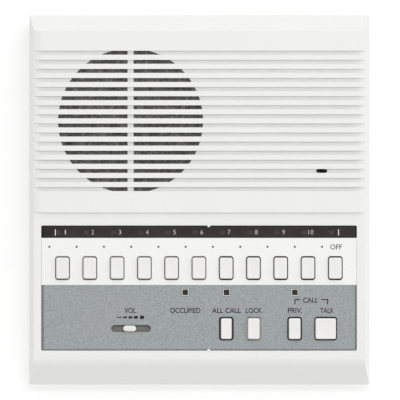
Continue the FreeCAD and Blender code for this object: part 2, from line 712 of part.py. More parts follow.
bezels = []
for i, x in enumerate((g.status_a, g.status_b, g.status_c)):
    half, inner = g.bezel_size / 2 - 0.15, g.status_size / 2 + 0.05
    bezels.append(cut("bezel_%d" % i, box("bezel_%d_out" % i, x - half, -g.status_row - half, -2.4, half * 2, half * 2, 2.25),
                      [box("bezel_%d_in" % i, x - inner, -g.status_row - inner, -4, inner * 2, inner * 2, 6)]))
node(group("bezel_set", bezels), "led_bezels")
seat(NODES[-1][1])

status = []
for i, x in enumerate((g.status_a, g.status_b, g.status_c)):
    half = g.status_size / 2
    status.append(fuse("status_%d" % i, [
        box("status_%d_body" % i, x - half, -g.status_row - half, -9, g.status_size, g.status_size, 8.75),
        box("status_%d_leg_a" % i, x - 1.5, -g.status_row - 0.25, -27.9, 0.5, 0.5, 19.5),
        box("status_%d_leg_b" % i, x + 1, -g.status_row - 0.25, -27.9, 0.5, 0.5, 19.5)]))
node(group("status_lamp_set", status), "status_leds")
seat(NODES[-1][1])


# ---- keys -----------------------------------------------------------------
def key(name, x, y, width, height, rise, opening, opening_height, lug):
    """Key cap with its stem and the flange that keeps it in the case.

    The stem of a station key carries a small catch lug on one side.
    """
    item = body(name)
    sk = sketch(item, "XY_Plane", name + "_cap_outline", -g.key_skirt)
    rounded(sk, -width / 2, width / 2, -height / 2, height / 2, g.key_radius)
    pad(item, name + "_cap", sk, g.key_skirt + rise)
    dress(item, "Chamfer", name + "_bevel", lambda p: near(p.z, rise), g.key_bevel)
    sk = sketch(item, "XY_Plane", name + "_flange_outline", -g.flange_top - g.flange_thickness)
    half_w, half_h = (opening + g.flange_reach) / 2, (opening_height + g.flange_reach) / 2
    rounded(sk, -half_w, half_w, -half_h, half_h, g.key_hole_radius)
    pad(item, name + "_flange", sk, g.flange_thickness)
    sk = sketch(item, "XY_Plane", name + "_stem_outline", -g.key_skirt)
    polygon(sk, [(-g.stem_width / 2, -g.stem_height / 2), (g.stem_width / 2, -g.stem_height / 2),
                 (g.stem_width / 2, g.stem_height / 2), (-g.stem_width / 2, g.stem_height / 2)])
    pad(item, name + "_stem", sk, g.stem_foot - g.key_skirt, reverse=True)
    if lug:
        sk = sketch(item, "YZ_Plane", name + "_lug_outline")
        polygon(sk, [(g.stem_height / 2 - 0.2, -15.4), (g.stem_height / 2 + 1, -16.2),
                     (g.stem_height / 2 - 0.2, -17.8)])
        pad(item, name + "_lug", sk, 1.6, middle=True)
    node(item, name)
    seat(item, x, y, 0)
    return item


for i in range(11):
    key("key_%d" % (i + 1) if i < 10 else "off_key", g.key_first + g.key_pitch * i, -g.key_row,
        g.key_width, g.key_height, g.key_rise, g.key_hole_width, g.key_hole_height, True)
for name, x, width, opening, rise in FUNCTION:
    key(name, x, -g.function_row, width, g.function_height, rise, opening, g.function_hole_height, False)


# ---- switch frame of the station keys ---------------------------------------
def guides(prefix, centres, y, top, foot, lug):
    """Stem guides, open at the top, with a floor under the springs."""
    tools = []
    half_w, half_h = g.stem_width / 2 + g.stem_clearance, g.stem_height / 2 + g.stem_clearance
    for i, x in enumerate(centres):
        tools.append(box("%s_guide_%02d" % (prefix, i), x - half_w, y - half_h, -foot + g.guide_floor,
                         half_w * 2, half_h * 2, foot - top + 2))
        if lug:
            tools.append(box("%s_lug_way_%02d" % (prefix, i), x - 1.1, y + half_h - 0.2, -foot + g.guide_floor + 2,
                             2.2, 1.6, foot - top + 2))
    return tools


STATIONS = [g.key_first + g.key_pitch * i for i in range(11)]
blank = box("frame_blank", -g.guide_half_length, -g.key_row - g.guide_height / 2, -g.guide_foot,
            g.guide_half_length * 2, g.guide_height, g.guide_foot - g.guide_top)
bar_way = box("frame_bar_way", -g.guide_half_length - 1, g.bar_y - 0.6, -g.bar_depth - g.bar_height / 2 - 0.3,
              g.guide_half_length * 2 + 2, 1.8, g.bar_height + 0.6)
frame_tools = guides("station", STATIONS, -g.key_row, g.guide_top, g.guide_foot, True) + [bar_way]
for i, x in enumerate([g.key_first + g.key_pitch * (j + 0.5) for j in range(10)]):
    frame_tools.append(box("frame_pocket_a_%02d" % i, x - 4.4, -g.key_row - g.guide_height / 2 + 1.6, -g.guide_foot + 1.6,
                           8.8, 13.4, g.guide_foot))
node(cut("frame_cut", blank, frame_tools), "switch_frame")
seat(NODES[-1][1])

# interlock bar: thin strip with a window for each stem and an eye for its return spring
strip_bar = box("bar_strip", -g.guide_half_length - 2.2, g.bar_y - 0.1, -g.bar_depth - g.bar_height / 2,
                g.guide_half_length * 2 + 1.4, g.bar_thickness, g.bar_height)
windows = [box("bar_window_%02d" % i, x - 3.4, g.bar_y - 1, -g.bar_depth - 1.1, 3, 3, g.bar_height) for i, x in enumerate(STATIONS)]
eye = cyl("bar_eye", -g.guide_half_length - 0.6, g.bar_y - 1, -g.bar_depth, 0.8, 3, "y")
node(cut("bar_cut", strip_bar, windows + [eye]), "interlock_bar")
seat(NODES[-1][1])

# ---- function switches ------------------------------------------------------
housings = []
for i, (name, x, _, _, _) in enumerate(FUNCTION):
    block = box("housing_%d_block" % i, x - g.housing_width / 2, -g.function_row - g.housing_height / 2, -g.guide_foot,
                g.housing_width, g.housing_height, g.guide_foot - g.guide_top)
    housings.append(cut("housing_%d" % i, block, guides("function_%d" % i, [x], -g.function_row, g.guide_top, g.guide_foot, False)))
node(group("housing_set", housings), "function_switches")
seat(NODES[-1][1])

# leaf springs under the stems
springs = []
centres = [(x, -g.key_row) for x in STATIONS] + [(f[1], -g.function_row) for f in FUNCTION]
floor_z = -g.guide_foot + g.guide_floor
for i, (x, y) in enumerate(centres):
    leaf = body("spring_%02d" % i)
    sk = sketch(leaf, "YZ_Plane", "spring_%02d_outline" % i)
    thick, tip = g.spring_thickness, g.spring_tip
    polygon(sk, [(-4.2, floor_z + 0.05), (-1.6, floor_z + 0.05), (2.6, tip - thick * 1.3), (3.6, tip - thick - 0.15), (3.7, tip - 0.15),
                 (2.5, tip), (-1.75, floor_z + 0.05 + thick), (-4.2, floor_z + 0.05 + thick)])
    pad(leaf, "spring_%02d_strip" % i, sk, g.spring_width, middle=True)
    put(leaf, x, y, 0)
    springs.append(leaf)
node(group("spring_set", springs), "key_springs")
seat(NODES[-1][1])

# ---- switch board -----------------------------------------------------------
blank = box("switch_board_blank", -g.board_half_length, -g.board_bottom, -27.9 - g.board_thickness,
            g.board_half_length * 2, g.board_bottom - g.board_top, g.board_thickness)
holes = [cyl("switch_board_hole_%d" % i, x, y, -32, 1.2, 6) for i, (x, y) in enumerate(POSTS)]
holes += [cyl("switch_board_clear_%d" % i, g.screw_x * side, g.screw_bottom_y, -32, 5.4, 6) for i, side in enumerate((1, -1))]
node(cut("switch_board_cut", blank, holes), "switch_board")
seat(NODES[-1][1])

# ---- volume control ---------------------------------------------------------
knob = body("volume_knob")
sk = sketch(knob, "XY_Plane", "knob_outline", -g.knob_foot)
stadium(sk, -g.knob_length / 2, g.knob_length / 2, 0, g.knob_width)
pad(knob, "knob_block", sk, g.knob_foot + g.knob_rise)
sk = sketch(knob, "XZ_Plane", "knob_ridges")
for i in range(-2, 3):
    polygon(sk, [(1.25 * i - 0.35 + 0.001, g.knob_rise + 0.5), (1.25 * i + 0.001, g.knob_rise - 0.5), (1.25 * i + 0.35 + 0.001, g.knob_rise + 0.5)])
pocket(knob, "knob_notches", sk, 6, middle=True)
sk = sketch(knob, "XY_Plane", "knob_socket", -g.knob_foot)
polygon(sk, [(-g.lever_width / 2, -g.lever_thickness / 2), (g.lever_width / 2, -g.lever_thickness / 2),
             (g.lever_width / 2, g.lever_thickness / 2), (-g.lever_width / 2, g.lever_thickness / 2)])
pocket(knob, "knob_socket_cut", sk, 3.5, reverse=True)
node(knob, "volume_knob")
seat(knob, g.volume_x, -g.volume_row, 0)

lever = box("lever_blade", -g.lever_width / 2, -g.lever_thickness / 2, -13, g.lever_width, g.lever_thickness, 12.2)
shoe = box("lever_shoe", -3.2, -2.2, -14.5, 6.4, 4.4, 1.5)
node(fuse("lever_mass", [lever, shoe]), "volume_lever")
seat(NODES[-1][1], g.volume_x, -g.volume_row, 0)

# dust shutter that travels with the knob and closes the slot
shutter = body("shutter_strip")
sk = sketch(shutter, "XY_Plane", "shutter_outline", -g.knob_foot - 0.05 - g.shutter_thickness)
rounded(sk, -g.shutter_length / 2, g.shutter_length / 2, -g.shutter_width / 2, g.shutter_width / 2, size(1))
half_w, half_h = g.lever_width / 2 + 0.05, g.lever_thickness / 2 + 0.05
polygon(sk, [(-half_w, -half_h), (half_w, -half_h), (half_w, half_h), (-half_w, half_h)])
pad(shutter, "shutter_pad", sk, g.shutter_thickness)
node(shutter, "volume_shutter")
seat(shutter, g.volume_x, -g.volume_row, 0)

pot_x = -(g.volume_slot_left + g.volume_slot_right) / 2
block = box("pot_block", pot_x - 20, -g.volume_row - 4.5, -17, 40, 9, 8.4)
node(cut("pot_cut", block, [
    box("pot_slit", pot_x - 12, -g.volume_row - 0.8, -18, 24, 1.6, 12),
    box("pot_track", pot_x - 14.5, -g.volume_row - 2.6, -15.6, 29, 5.2, 4.6),
]), "volume_pot")
seat(NODES[-1][1])
legs = [box("pot_leg_%d" % i, pot_x + x, -g.volume_row - 0.3, -27.9, 0.8, 0.6, 10.9) for i, x in enumerate((-18, -16, 16.6))]
node(group("pot_leg_set", legs), "pot_pins")
seat(NODES[-1][1])

# ---- loudspeaker ------------------------------------------------------------
cloth = cyl("cloth_disc", 0, 0, -g.wall - 0.02 - g.cloth_thickness, g.cloth_radius, g.cloth_thickness)
node(cloth, "grille_cloth")
seat(cloth, g.grille_x, g.grille_y, -g.wall - 0.02 - g.cloth_thickness)
cloth.setExpression("Placement.Base.z", (face_z + g.grille_y * sin_tilt + (-g.wall - 0.02 - g.cloth_thickness) * cos_tilt).text)


def turned(name, points):
    """Piece turned about the loudspeaker axis from an x-z outline."""
    item = body(name)
    sk = sketch(item, "XZ_Plane", name + "_outline")
    polygon(sk, points)
    spin = item.newObject("PartDesign::Revolution", name + "_turn")
    spin.Profile = sk
    spin.ReferenceAxis = ([f for f in item.Origin.OriginFeatures if f.Role == "Z_Axis"][0], [""])
    spin.Angle = 360
    item.Tip = spin
    return item


S = -g.speaker_seat
basket = turned("basket_shell", [(45, S), (g.speaker_radius, S), (g.speaker_radius, S - 1), (45.5, S - 1), (44, S - 4.2),
                                 (24, S - 20), (24, S - 21.5), (13.6, S - 21.5), (13.6, S - 20.5), (22, S - 20.5), (42.6, S - 3.8)])
doc.recompute()
windows = []
for i, (a, b) in enumerate(((1, 0), (0, 1), (-1, 0), (0, -1))):
    windows.append(box("basket_window_%d" % i, 33 * a - (6 if a else 13), 33 * b - (6 if b else 13), -25, 12 if a else 26, 12 if b else 26, 22))
basket = cut("basket_cut", basket, windows)
node(basket, "speaker_basket")
seat(basket, g.grille_x, g.grille_y, 0)
top = cut("top_plate_cut", cyl("top_plate_disc", 0, 0, S - 25, 24, 3.4), [cyl("top_plate_bore", 0, 0, S - 30, 13.6, 10)])
node(top, "speaker_top_plate")
seat(top, g.grille_x, g.grille_y, 0)
magnet = cut("magnet_cut", cyl("magnet_disc", 0, 0, S - 25.1 - g.magnet_depth, g.magnet_radius, g.magnet_depth),
             [cyl("magnet_bore", 0, 0, S - 40, 15, 20)])
node(magnet, "speaker_magnet")
seat(magnet, g.grille_x, g.grille_y, 0)
yoke = fuse("yoke_mass", [cyl("yoke_plate", 0, 0, S - 25.2 - g.magnet_depth - 3.4, 27, 3.4),
                          cyl("yoke_pole", 0, 0, S - 25.2 - g.magnet_depth - 1, 12, 14)])
node(yoke, "speaker_yoke")
seat(yoke, g.grille_x, g.grille_y, 0)
paper = turned("speaker_cone", [(42.6, S - 0.6), (43, S - 0.2), (44.5, S - 0.2), (44.5, S), (42.8, S), (40.5, S - 1.6), (38.5, S - 0.6), (36.5, S - 2.4), (12.6, S - 14), (12.6, S - 26),
                                (12.9, S - 26), (12.9, S - 14.5), (36.7, S - 3), (38.5, S - 1.2), (40.5, S - 2.2)])
node(paper, "speaker_cone")
seat(paper, g.grille_x, g.grille_y, 0)
dome = turned("dust_cap", [(12.4, S - 12.6), (9, S - 10), (0, S - 8.6), (0, S - 9.2), (8.8, S - 10.6), (12.4, S - 13.6)])
node(dome, "dust_cap")
seat(dome, g.grille_x, g.grille_y, 0)
clips, clip_screws = [], []
for i, (x, y) in enumerate(CLIPS):
    clips.append(cut("clip_%d" % i, cyl("clip_%d_disc" % i, x, y, -4.87, 8, 0.7), [cyl("clip_%d_hole" % i, x, y, -6, 1.2, 3)]))
    clip_screws.append(fuse("clip_screw_%d" % i, [cyl("clip_screw_%d_head" % i, x, y, -6.4, 1.9, 1.5),
                                                  cyl("clip_screw_%d_shank" % i, x, y, -5, 0.85, 2.3)]))
node(group("clip_set", clips), "speaker_clips")
seat(NODES[-1][1])

# ---- microphone -------------------------------------------------------------
boot = cut("mic_boot_cut", cyl("mic_boot_disc", 0, 0, -11, 6, 8.4), [cyl("mic_boot_bore", 0, 0, -12, 4.9, 7.4), cyl("mic_boot_port", 0, 0, -5, 1.5, 4)])
node(boot, "mic_boot")
seat(boot, g.mic_x, g.mic_y, 0)
capsule = cut("mic_capsule_cut", cyl("mic_capsule_can", 0, 0, -11.4, 4.8, 6.6), [cyl("mic_capsule_port", 0, 0, -5.4, 1, 2)])
node(capsule, "mic_capsule")
seat(capsule, g.mic_x, g.mic_y, 0)

# ---- small screws inside ------------------------------------------------------
small = list(clip_screws)
for i, (x, y) in enumerate(POSTS):
    small.append(fuse("board_screw_%d" % i, [cyl("board_screw_%d_head" % i, x, y, -31.1, 1.9, 1.55),
                                             cyl("board_screw_%d_shank" % i, x, y, -29.6, 0.85, 6)]))
node(group("small_screw_set", small), "inner_screws")
seat(NODES[-1][1])

# ---- lower cover (drawn upright) ----------------------------------------------
inner_y = g.case_length / 2 * cos_tilt - g.cover_inset
rim_z = face_z - g.rim_depth * cos_tilt
half_x = g.case_width / 2 - g.cover_inset
tray = body("cover_blank")
sk = sketch(tray, "YZ_Plane", "cover_profile")
polygon(sk, [(-inner_y, g.foot_height + 1.5), (-inner_y + 1.5, g.foot_height), (inner_y - 1.5, g.foot_height), (inner_y, g.foot_height + 1.5),
             (inner_y, rim_z + inner_y * tan_tilt - 0.05), (-inner_y, rim_z - inner_y * tan_tilt - 0.05)])
pad(tray, "cover_block", sk, half_x * 2, middle=True)
hollow_y, hollow_x = inner_y - g.wall, half_x - g.wall
sk = sketch(tray, "YZ_Plane", "cover_hollow_profile")
polygon(sk, [(-hollow_y, g.foot_height + g.wall), (hollow_y, g.foot_height + g.wall), (hollow_y, 60), (-hollow_y, 60)])
pocket(tray, "cover_hollow", sk, hollow_x * 2, middle=True)
for n, (x0, y0) in enumerate(((-60, -62), (30, -62), (-60, 28), (30, 28))):
    sk = sketch(tray, "XY_Plane", "vent_%d_outline" % n, g.foot_height + 6)
    rounded(sk, size(x0), g.vent_length + x0, size(y0), g.vent_width + y0, g.vent_width / 2 - 0.05)
    vent = pocket(tray, "vent_%d" % n, sk, 8)
    row(tray, "vents_%d" % n, vent, "Y_Axis", g.vent_pitch * 5, Size(6, "6"))
    doc.recompute()


def upright(u, v, w):
    """Point of the face frame, in the upright frame."""
    return (size(u), face_y + size(v) * cos_tilt - size(w) * sin_tilt, face_z + size(v) * sin_tilt + size(w) * cos_tilt)


def tipped(name, u, v, w, radius, length):
    """Cylinder square to the face, placed in the upright frame."""
    item = cyl(name, 0, 0, 0, radius, length)
    seat(item, u, v, w)
    return item


posts, bores = [], []
for i, (side, y) in enumerate(SCREWS):
    depth = g.boss_foot + 0.1
    down = (face_z + y * sin_tilt - g.foot_height) / cos_tilt
    posts.append(tipped("cover_post_%d" % i, g.screw_x * side, y, -down - 3, 4.6, down + 3 - depth))
    bores.append(tipped("cover_bore_%d" % i, g.screw_x * side, y, -down - 4, 1.75, down + 6 - depth))
    bores.append(tipped("cover_counterbore_%d" % i, g.screw_x * side, y, -down - 4, 3.4, 8))
trim = box("cover_trim", -120, -130, g.foot_height, 240, 260, 80)
tray_mass = fuse("cover_mass", [tray, common("cover_posts", group("cover_post_set", posts), trim)])
for i, (a, b) in enumerate(((1, 1), (-1, 1), (-1, -1), (1, -1))):
    bores.append(cyl("bracket_hole_%d" % i, g.mount_x / 2 * a, g.mount_y / 2 * b - g.mount_middle, 0, g.mount_radius, 9))
bores.append(box("strip_window", g.strip_x - g.strip_length / 2 - 0.4, 100, g.strip_z - g.strip_height / 2 - 0.4,
                 g.strip_length + 0.8, 30, g.strip_height + 0.8))
bores.append(cyl("inlet_hole", g.inlet_x, 100, g.inlet_z, g.inlet_radius + 0.3, 30, "y"))
board_posts = [(8, 30), (98, 30), (8, 84), (98, 84)]
tabs = []
for i, (side, y) in enumerate(((1, -78), (1, 62), (-1, -78), (-1, 62))):
    low_x = hollow_x - 1.5 if side > 0 else -hollow_x - 0.6
    tabs.append(box("cover_tab_%d" % i, low_x, y, rim_z + (y + 8) * tan_tilt - 7, 2.1, 16, 7 + g.tab_height))
stand = tabs + [cyl("amp_post_%d" % i, x, y, g.foot_height + 1, 3.2, 6.9 - 1 + 0.1) for i, (x, y) in enumerate(board_posts)]
bores += [cyl("amp_pilot_%d" % i, x, y, g.foot_height + 2, 1.1, 8) for i, (x, y) in enumerate(board_posts)]
cover = cut("cover_cut", fuse("cover_full", [tray_mass] + stand), bores)
node(cover, "rear_cover")

feet = []
for i, (a, b) in enumerate(((1, 1), (-1, 1), (-1, -1), (1, -1))):
    feet.append(cone("foot_%d" % i, g.foot_x * a, g.foot_y * b, 0, g.foot_radius - 0.8, g.foot_radius, g.foot_height))
node(group("foot_set", feet), "rubber_feet")

screws = []
for i, (side, y) in enumerate(SCREWS):
    down = (face_z + y * sin_tilt - g.foot_height) / cos_tilt
    head = cut("case_screw_%d_top" % i, tipped("case_screw_%d_head" % i, g.screw_x * side, y, -down + 1.6, 2.9, 2.4),
               [tipped("case_screw_%d_drive" % i, g.screw_x * side, y, -down + 1, 1.1, 1.8)])
    screws.append(fuse("case_screw_%d" % i, [head, tipped("case_screw_%d_shank" % i, g.screw_x * side, y, -down + 3.5, 1.25,
                                                          down - 3.5 - g.boss_foot + 8)]))
node(group("case_screw_set", screws), "case_screws")

# ---- amplifier board and what stands on it ------------------------------------
top_z = g.foot_height + 7 + g.board_thickness
deck = cut("amp_board_cut", box("amp_board_blank", 3, 22, g.foot_height + 7, 100, 88, g.board_thickness),
           [cyl("amp_hole_%d" % i, x, y, 5, 1.3, 20) for i, (x, y) in enumerate(board_posts)] + [box("amp_notch", 91.5, 103, 5, 20, 10, 20)])
node(deck, "amplifier_board")
fixings = [fuse("amp_screw_%d" % i, [cyl("amp_screw_%d_head" % i, x, y, top_z + 0.05, 2.1, 1.6),
                                     cyl("amp_screw_%d_shank" % i, x, y, top_z - 6, 1, 6.2)]) for i, (x, y) in enumerate(board_posts)]
node(group("amp_screw_set", fixings), "board_screws")
caps = []
for i, (x, y, r, h) in enumerate(((20, 38, 5, 15), (33, 38, 5, 15), (46, 36, 4, 11), (20, 56, 6.3, 20), (84, 38, 4, 11), (94, 48, 4, 11))):
    caps.append(cyl("cap_%d" % i, x, y, top_z + 0.05, r, h))
node(group("cap_set", caps), "capacitors")
chips = [box("chip_%d" % i, x, y, top_z + 0.05, lx, ly, 3.4) for i, (x, y, lx, ly) in enumerate(((54, 30, 19, 6.4), (54, 44, 10, 6.4), (68, 44, 10, 6.4)))]
node(group("chip_set", chips), "amplifier_chips")
sink = [box("sink_base", 80, 54, top_z + 0.05, 18, 3, 20)] + [box("sink_fin_%d" % i, 80 + 3.6 * i, 56.5, top_z + 0.05, 1.2, 9, 20) for i in range(5)]
node(fuse("sink_mass", sink), "heat_sink")
core = cut("core_cut", box("core_block", 36, 56, top_z + 0.05, 30, 12, 25), [box("core_a", 41, 50, top_z + 5, 5.5, 30, 15), box("core_b", 55.5, 50, top_z + 5, 5.5, 30, 15)])
node(core, "transformer_core")
coil = cut("coil_cut", box("coil_block", 41.3, 52, top_z + 5.3, 19.4, 20, 14.4), [box("coil_bore", 46.2, 55.8, top_z + 4, 9.6, 12.4, 17)])
node(coil, "transformer_coil")

# ---- terminals and inlet --------------------------------------------------------
back_y = inner_y - 0.8
strip = [box("strip_body", g.strip_x - g.strip_length / 2, back_y - 9, g.strip_z - g.strip_height / 2, g.strip_length, 6, g.strip_height),
         box("strip_base", g.strip_x - g.strip_length / 2, back_y - 12, top_z + 0.05, g.strip_length, 6, 5)]
strip += [box("strip_rib_%02d" % i, g.strip_x - g.strip_pitch * 6 + g.strip_pitch * i - 0.6, back_y - 4, g.strip_z - g.strip_height / 2,
              1.2, 4, g.strip_height) for i in range(13)]
pads_, heads = [], []
for i in range(12):
    x = g.strip_x - g.strip_pitch * 5.5 + g.strip_pitch * i
    heads.append(cut("terminal_screw_%02d" % i, fuse("terminal_screw_%02d_mass" % i, [
        cyl("terminal_screw_%02d_head" % i, x, back_y - 2.1, g.strip_z, 2.4, 1.5, "y"),
        cyl("terminal_screw_%02d_shank" % i, x, back_y - 6, g.strip_z, 1.3, 4.2, "y")]),
        [box("terminal_slot_%02d" % i, x - 3, back_y - 1.2, g.strip_z - 0.35, 6, 2, 0.7)]))
    pads_.append(cut("terminal_plate_%02d" % i, box("terminal_plate_%02d_blank" % i, x - 2.6, back_y - 2.95, g.strip_z - 4.5, 5.2, 0.8, 9),
                     [cyl("terminal_plate_%02d_hole" % i, x, back_y - 4, g.strip_z, 1.65, 3, "y")]))
body_strip = cut("strip_cut", fuse("strip_mass", strip), [cyl("strip_hole_%02d" % i, g.strip_x - g.strip_pitch * 5.5 + g.strip_pitch * i, back_y - 6.5, g.strip_z, 1.65, 5, "y") for i in range(12)])
node(body_strip, "terminal_strip")
node(group("terminal_plate_set", pads_), "terminal_plates")
node(group("terminal_screw_set", heads), "terminal_screws")
barrel = cut("inlet_cut", fuse("inlet_mass", [cyl("inlet_barrel", g.inlet_x, inner_y - 12, g.inlet_z, g.inlet_radius, 11.6, "y"),
                                              cyl("inlet_flange", g.inlet_x, hollow_y - 2.2, g.inlet_z, 6.5, 2.1, "y")]),
             [cyl("inlet_bore", g.inlet_x, inner_y - 9, g.inlet_z, 2.8, 12, "y")])
node(barrel, "power_inlet")
pin = cyl("inlet_pin_rod", g.inlet_x, inner_y - 8.9, g.inlet_z, 1, 8, "y")
node(pin, "inlet_pin")

# ---- write the pieces -----------------------------------------------------------
doc.recompute()
doc.recompute()
for item in doc.Objects:
    if "Invalid" in item.State or "Error" in item.State:
        raise ValueError("%s failed: %s" % (item.Name, item.State))
os.makedirs("parts", exist_ok=True)
for name, item in NODES:
    shape = item.Shape
    if shape.isNull() or not shape.isValid() or not shape.Solids:
        raise ValueError("%s has no sound shape" % name)
    shape.exportStep("parts/%s.step" % name)
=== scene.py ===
"""Vintage desk intercom, a ten-station master set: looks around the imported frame."""
import math

import bmesh
import bpy
from mathutils import Matrix, Vector


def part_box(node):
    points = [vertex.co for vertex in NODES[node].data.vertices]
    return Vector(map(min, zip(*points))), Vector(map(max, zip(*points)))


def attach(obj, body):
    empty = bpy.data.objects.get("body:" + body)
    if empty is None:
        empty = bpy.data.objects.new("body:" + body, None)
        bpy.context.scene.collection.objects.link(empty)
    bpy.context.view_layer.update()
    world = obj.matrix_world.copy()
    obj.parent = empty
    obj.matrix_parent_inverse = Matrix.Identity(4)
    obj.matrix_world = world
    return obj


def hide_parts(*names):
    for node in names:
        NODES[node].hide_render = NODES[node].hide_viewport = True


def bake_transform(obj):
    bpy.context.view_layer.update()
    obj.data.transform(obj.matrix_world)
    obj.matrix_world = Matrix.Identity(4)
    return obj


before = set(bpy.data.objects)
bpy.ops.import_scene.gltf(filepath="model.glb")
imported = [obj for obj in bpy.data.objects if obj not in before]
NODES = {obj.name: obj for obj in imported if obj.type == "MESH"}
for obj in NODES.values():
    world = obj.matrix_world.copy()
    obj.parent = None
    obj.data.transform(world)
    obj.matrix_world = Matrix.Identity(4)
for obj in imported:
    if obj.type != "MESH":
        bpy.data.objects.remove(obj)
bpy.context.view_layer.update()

MM = 0.001
TILT = math.radians(6)
# Frame of the face: x to the right, y up the face, z out of the face.
FACE = Matrix.Translation((0, -26 * math.sin(TILT) * MM, 52 * MM)) @ Matrix.Rotation(TILT, 4, "X")
STATIONS = [-90.3 + 18.0 * i for i in range(11)]
KEY_ROW = -45.05
FUNCTION_ROW = -85.0


# ---- nodes ----------------------------------------------------------------
class Shader:
    """A material under construction."""

    def __init__(self, name):
        self.mat = bpy.data.materials.new(name)
        self.mat.use_nodes = True
        self.tree = self.mat.node_tree
        self.tree.nodes.clear()
        self.out = self.tree.nodes.new("ShaderNodeOutputMaterial")
        self.bsdf = self.tree.nodes.new("ShaderNodeBsdfPrincipled")
        self.tree.links.new(self.bsdf.outputs["BSDF"], self.out.inputs["Surface"])
        coord = self.tree.nodes.new("ShaderNodeTexCoord")
        self.coord = coord.outputs["Object"]

    def add(self, kind, **settings):
        item = self.tree.nodes.new(kind)
        for key, value in settings.items():
            setattr(item, key, value)
        return item

    def link(self, a, b):
        self.tree.links.new(a, b)

    def put(self, socket, value):
        if isinstance(value, bpy.types.NodeSocket):
            self.link(value, socket)
        else:
            socket.default_value = value

    def stretch(self, scale):
        item = self.add("ShaderNodeMapping")
        item.inputs["Scale"].default_value = scale
        self.link(self.coord, item.inputs["Vector"])
        return item.outputs["Vector"]

    def noise(self, scale, detail=2.0, rough=0.5, vector=None, distort=0.0):
        item = self.add("ShaderNodeTexNoise")
        self.link(vector or self.coord, item.inputs["Vector"])
        item.inputs["Scale"].default_value = scale
        item.inputs["Detail"].default_value = detail
        item.inputs["Roughness"].default_value = rough
        item.inputs["Distortion"].default_value = distort
        return item.outputs["Fac"]

    def cells(self, scale, vector=None, feature="F1"):
        item = self.add("ShaderNodeTexVoronoi", feature=feature)
        self.link(vector or self.coord, item.inputs["Vector"])
        item.inputs["Scale"].default_value = scale
        return item.outputs["Distance"]

    def ramp(self, fac, stops, interpolation="LINEAR"):
        item = self.add("ShaderNodeValToRGB")
        item.color_ramp.interpolation = interpolation
        while len(item.color_ramp.elements) < len(stops):
            item.color_ramp.elements.new(0.5)
        for element, (place, colour) in zip(item.color_ramp.elements, stops):
            element.position = place
            element.color = (*colour, 1) if len(colour) == 3 else colour
        self.link(fac, item.inputs["Fac"])
        return item.outputs["Color"]

    def scaled(self, fac, low, high, source=(0.3, 0.7)):
        item = self.add("ShaderNodeMapRange")
        self.link(fac, item.inputs["Value"])
        item.inputs["From Min"].default_value = source[0]
        item.inputs["From Max"].default_value = source[1]
        item.inputs["To Min"].default_value = low
        item.inputs["To Max"].default_value = high
        return item.outputs["Result"]

    def math(self, kind, a, b=0.0):
        item = self.add("ShaderNodeMath", operation=kind)
        self.put(item.inputs[0], a)
        self.put(item.inputs[1], b)
        return item.outputs[0]

    def mix(self, fac, a, b, blend="MIX"):
        item = self.add("ShaderNodeMix", data_type="RGBA", blend_type=blend)
        self.put(item.inputs[0], fac)
        self.put(item.inputs[6], a if isinstance(a, bpy.types.NodeSocket) else (*a, 1))
        self.put(item.inputs[7], b if isinstance(b, bpy.types.NodeSocket) else (*b, 1))
        return item.outputs[2]

    def creases(self, distance, samples=6):
        """Share of open sky near a point, low in creases."""
        item = self.add("ShaderNodeAmbientOcclusion", samples=samples)
        item.inputs["Distance"].default_value = distance
        return item.outputs["AO"]

    def bump(self, height, strength, distance=0.0002, under=None):
        item = self.add("ShaderNodeBump")
        item.inputs["Strength"].default_value = strength
        item.inputs["Distance"].default_value = distance
        self.link(height, item.inputs["Height"])
        if under is not None:
            self.link(under, item.inputs["Normal"])
        return item.outputs["Normal"]

    def finish(self, colour=None, rough=None, normal=None, metal=0.0, shine=0.5, **constants):
        if colour is not None:
            self.put(self.bsdf.inputs["Base Color"], colour)
        if rough is not None:
            self.put(self.bsdf.inputs["Roughness"], rough)
        if normal is not None:
            self.link(normal, self.bsdf.inputs["Normal"])
        self.bsdf.inputs["Metallic"].default_value = metal
        self.bsdf.inputs["Specular IOR Level"].default_value = shine
        for key, value in constants.items():
            self.bsdf.inputs[key.replace("_", " ").title() if key != "ior" else "IOR"].default_value = value
        return self.mat


def tone(colour, factor):
    return tuple(min(1.0, c * factor) for c in colour)


def moulding(name, colour, rough=0.45, grain=1600.0, relief=0.12, mottle=0.02, crease_dust_shade=0.0, crease_dust_shade_colour=None, warm=None):
    """Moulded plastic: slow drift of tone, fine grain, and dust with painted shade darkening the creases."""
    s = Shader(name)
    slow = s.noise(28.0, 3.0, 0.55)
    fine = s.noise(grain, 2.0, 0.6)
    base = s.ramp(slow, [(0.3, tone(colour, 1 - mottle)), (0.7, tone(warm or colour, 1 + mottle))])
    specks = s.noise(grain * 0.45, 1.0, 0.4)
    base = s.mix(s.scaled(specks, 0.0, 0.06, (0.62, 0.75)), base, tone(colour, 0.6))
    if crease_dust_shade > 0:
        # Painted shade with dust: the creases are darkened by how little open sky they see.
        open_sky = s.creases(0.004)
        dust_and_shade = s.math("MULTIPLY", s.scaled(open_sky, crease_dust_shade, 0.0, (0.25, 0.85)), s.scaled(s.noise(180.0, 3.0), 0.6, 1.0))
        base = s.mix(dust_and_shade, base, crease_dust_shade_colour or tone(colour, 0.55))
    return s.finish(base, s.scaled(slow, rough - 0.05, rough + 0.06), s.bump(fine, relief, 0.00012))


def metal(name, colour, rough=0.32, brush=(60.0, 900.0, 900.0), relief=0.05, stain=0.12, metalness=1.0):
    """Plated or bare metal with drawn lines and a little tarnish."""
    s = Shader(name)
    lines = s.noise(1.0, 3.0, 0.6, s.stretch(brush))
    patch = s.noise(90.0, 4.0, 0.6)
    base = s.ramp(patch, [(0.3, tone(colour, 1 - stain)), (0.7, tone(colour, 1 + stain * 0.4))])
    return s.finish(base, s.scaled(lines, rough - 0.08, rough + 0.12), s.bump(lines, relief, 0.0001), metal=metalness)


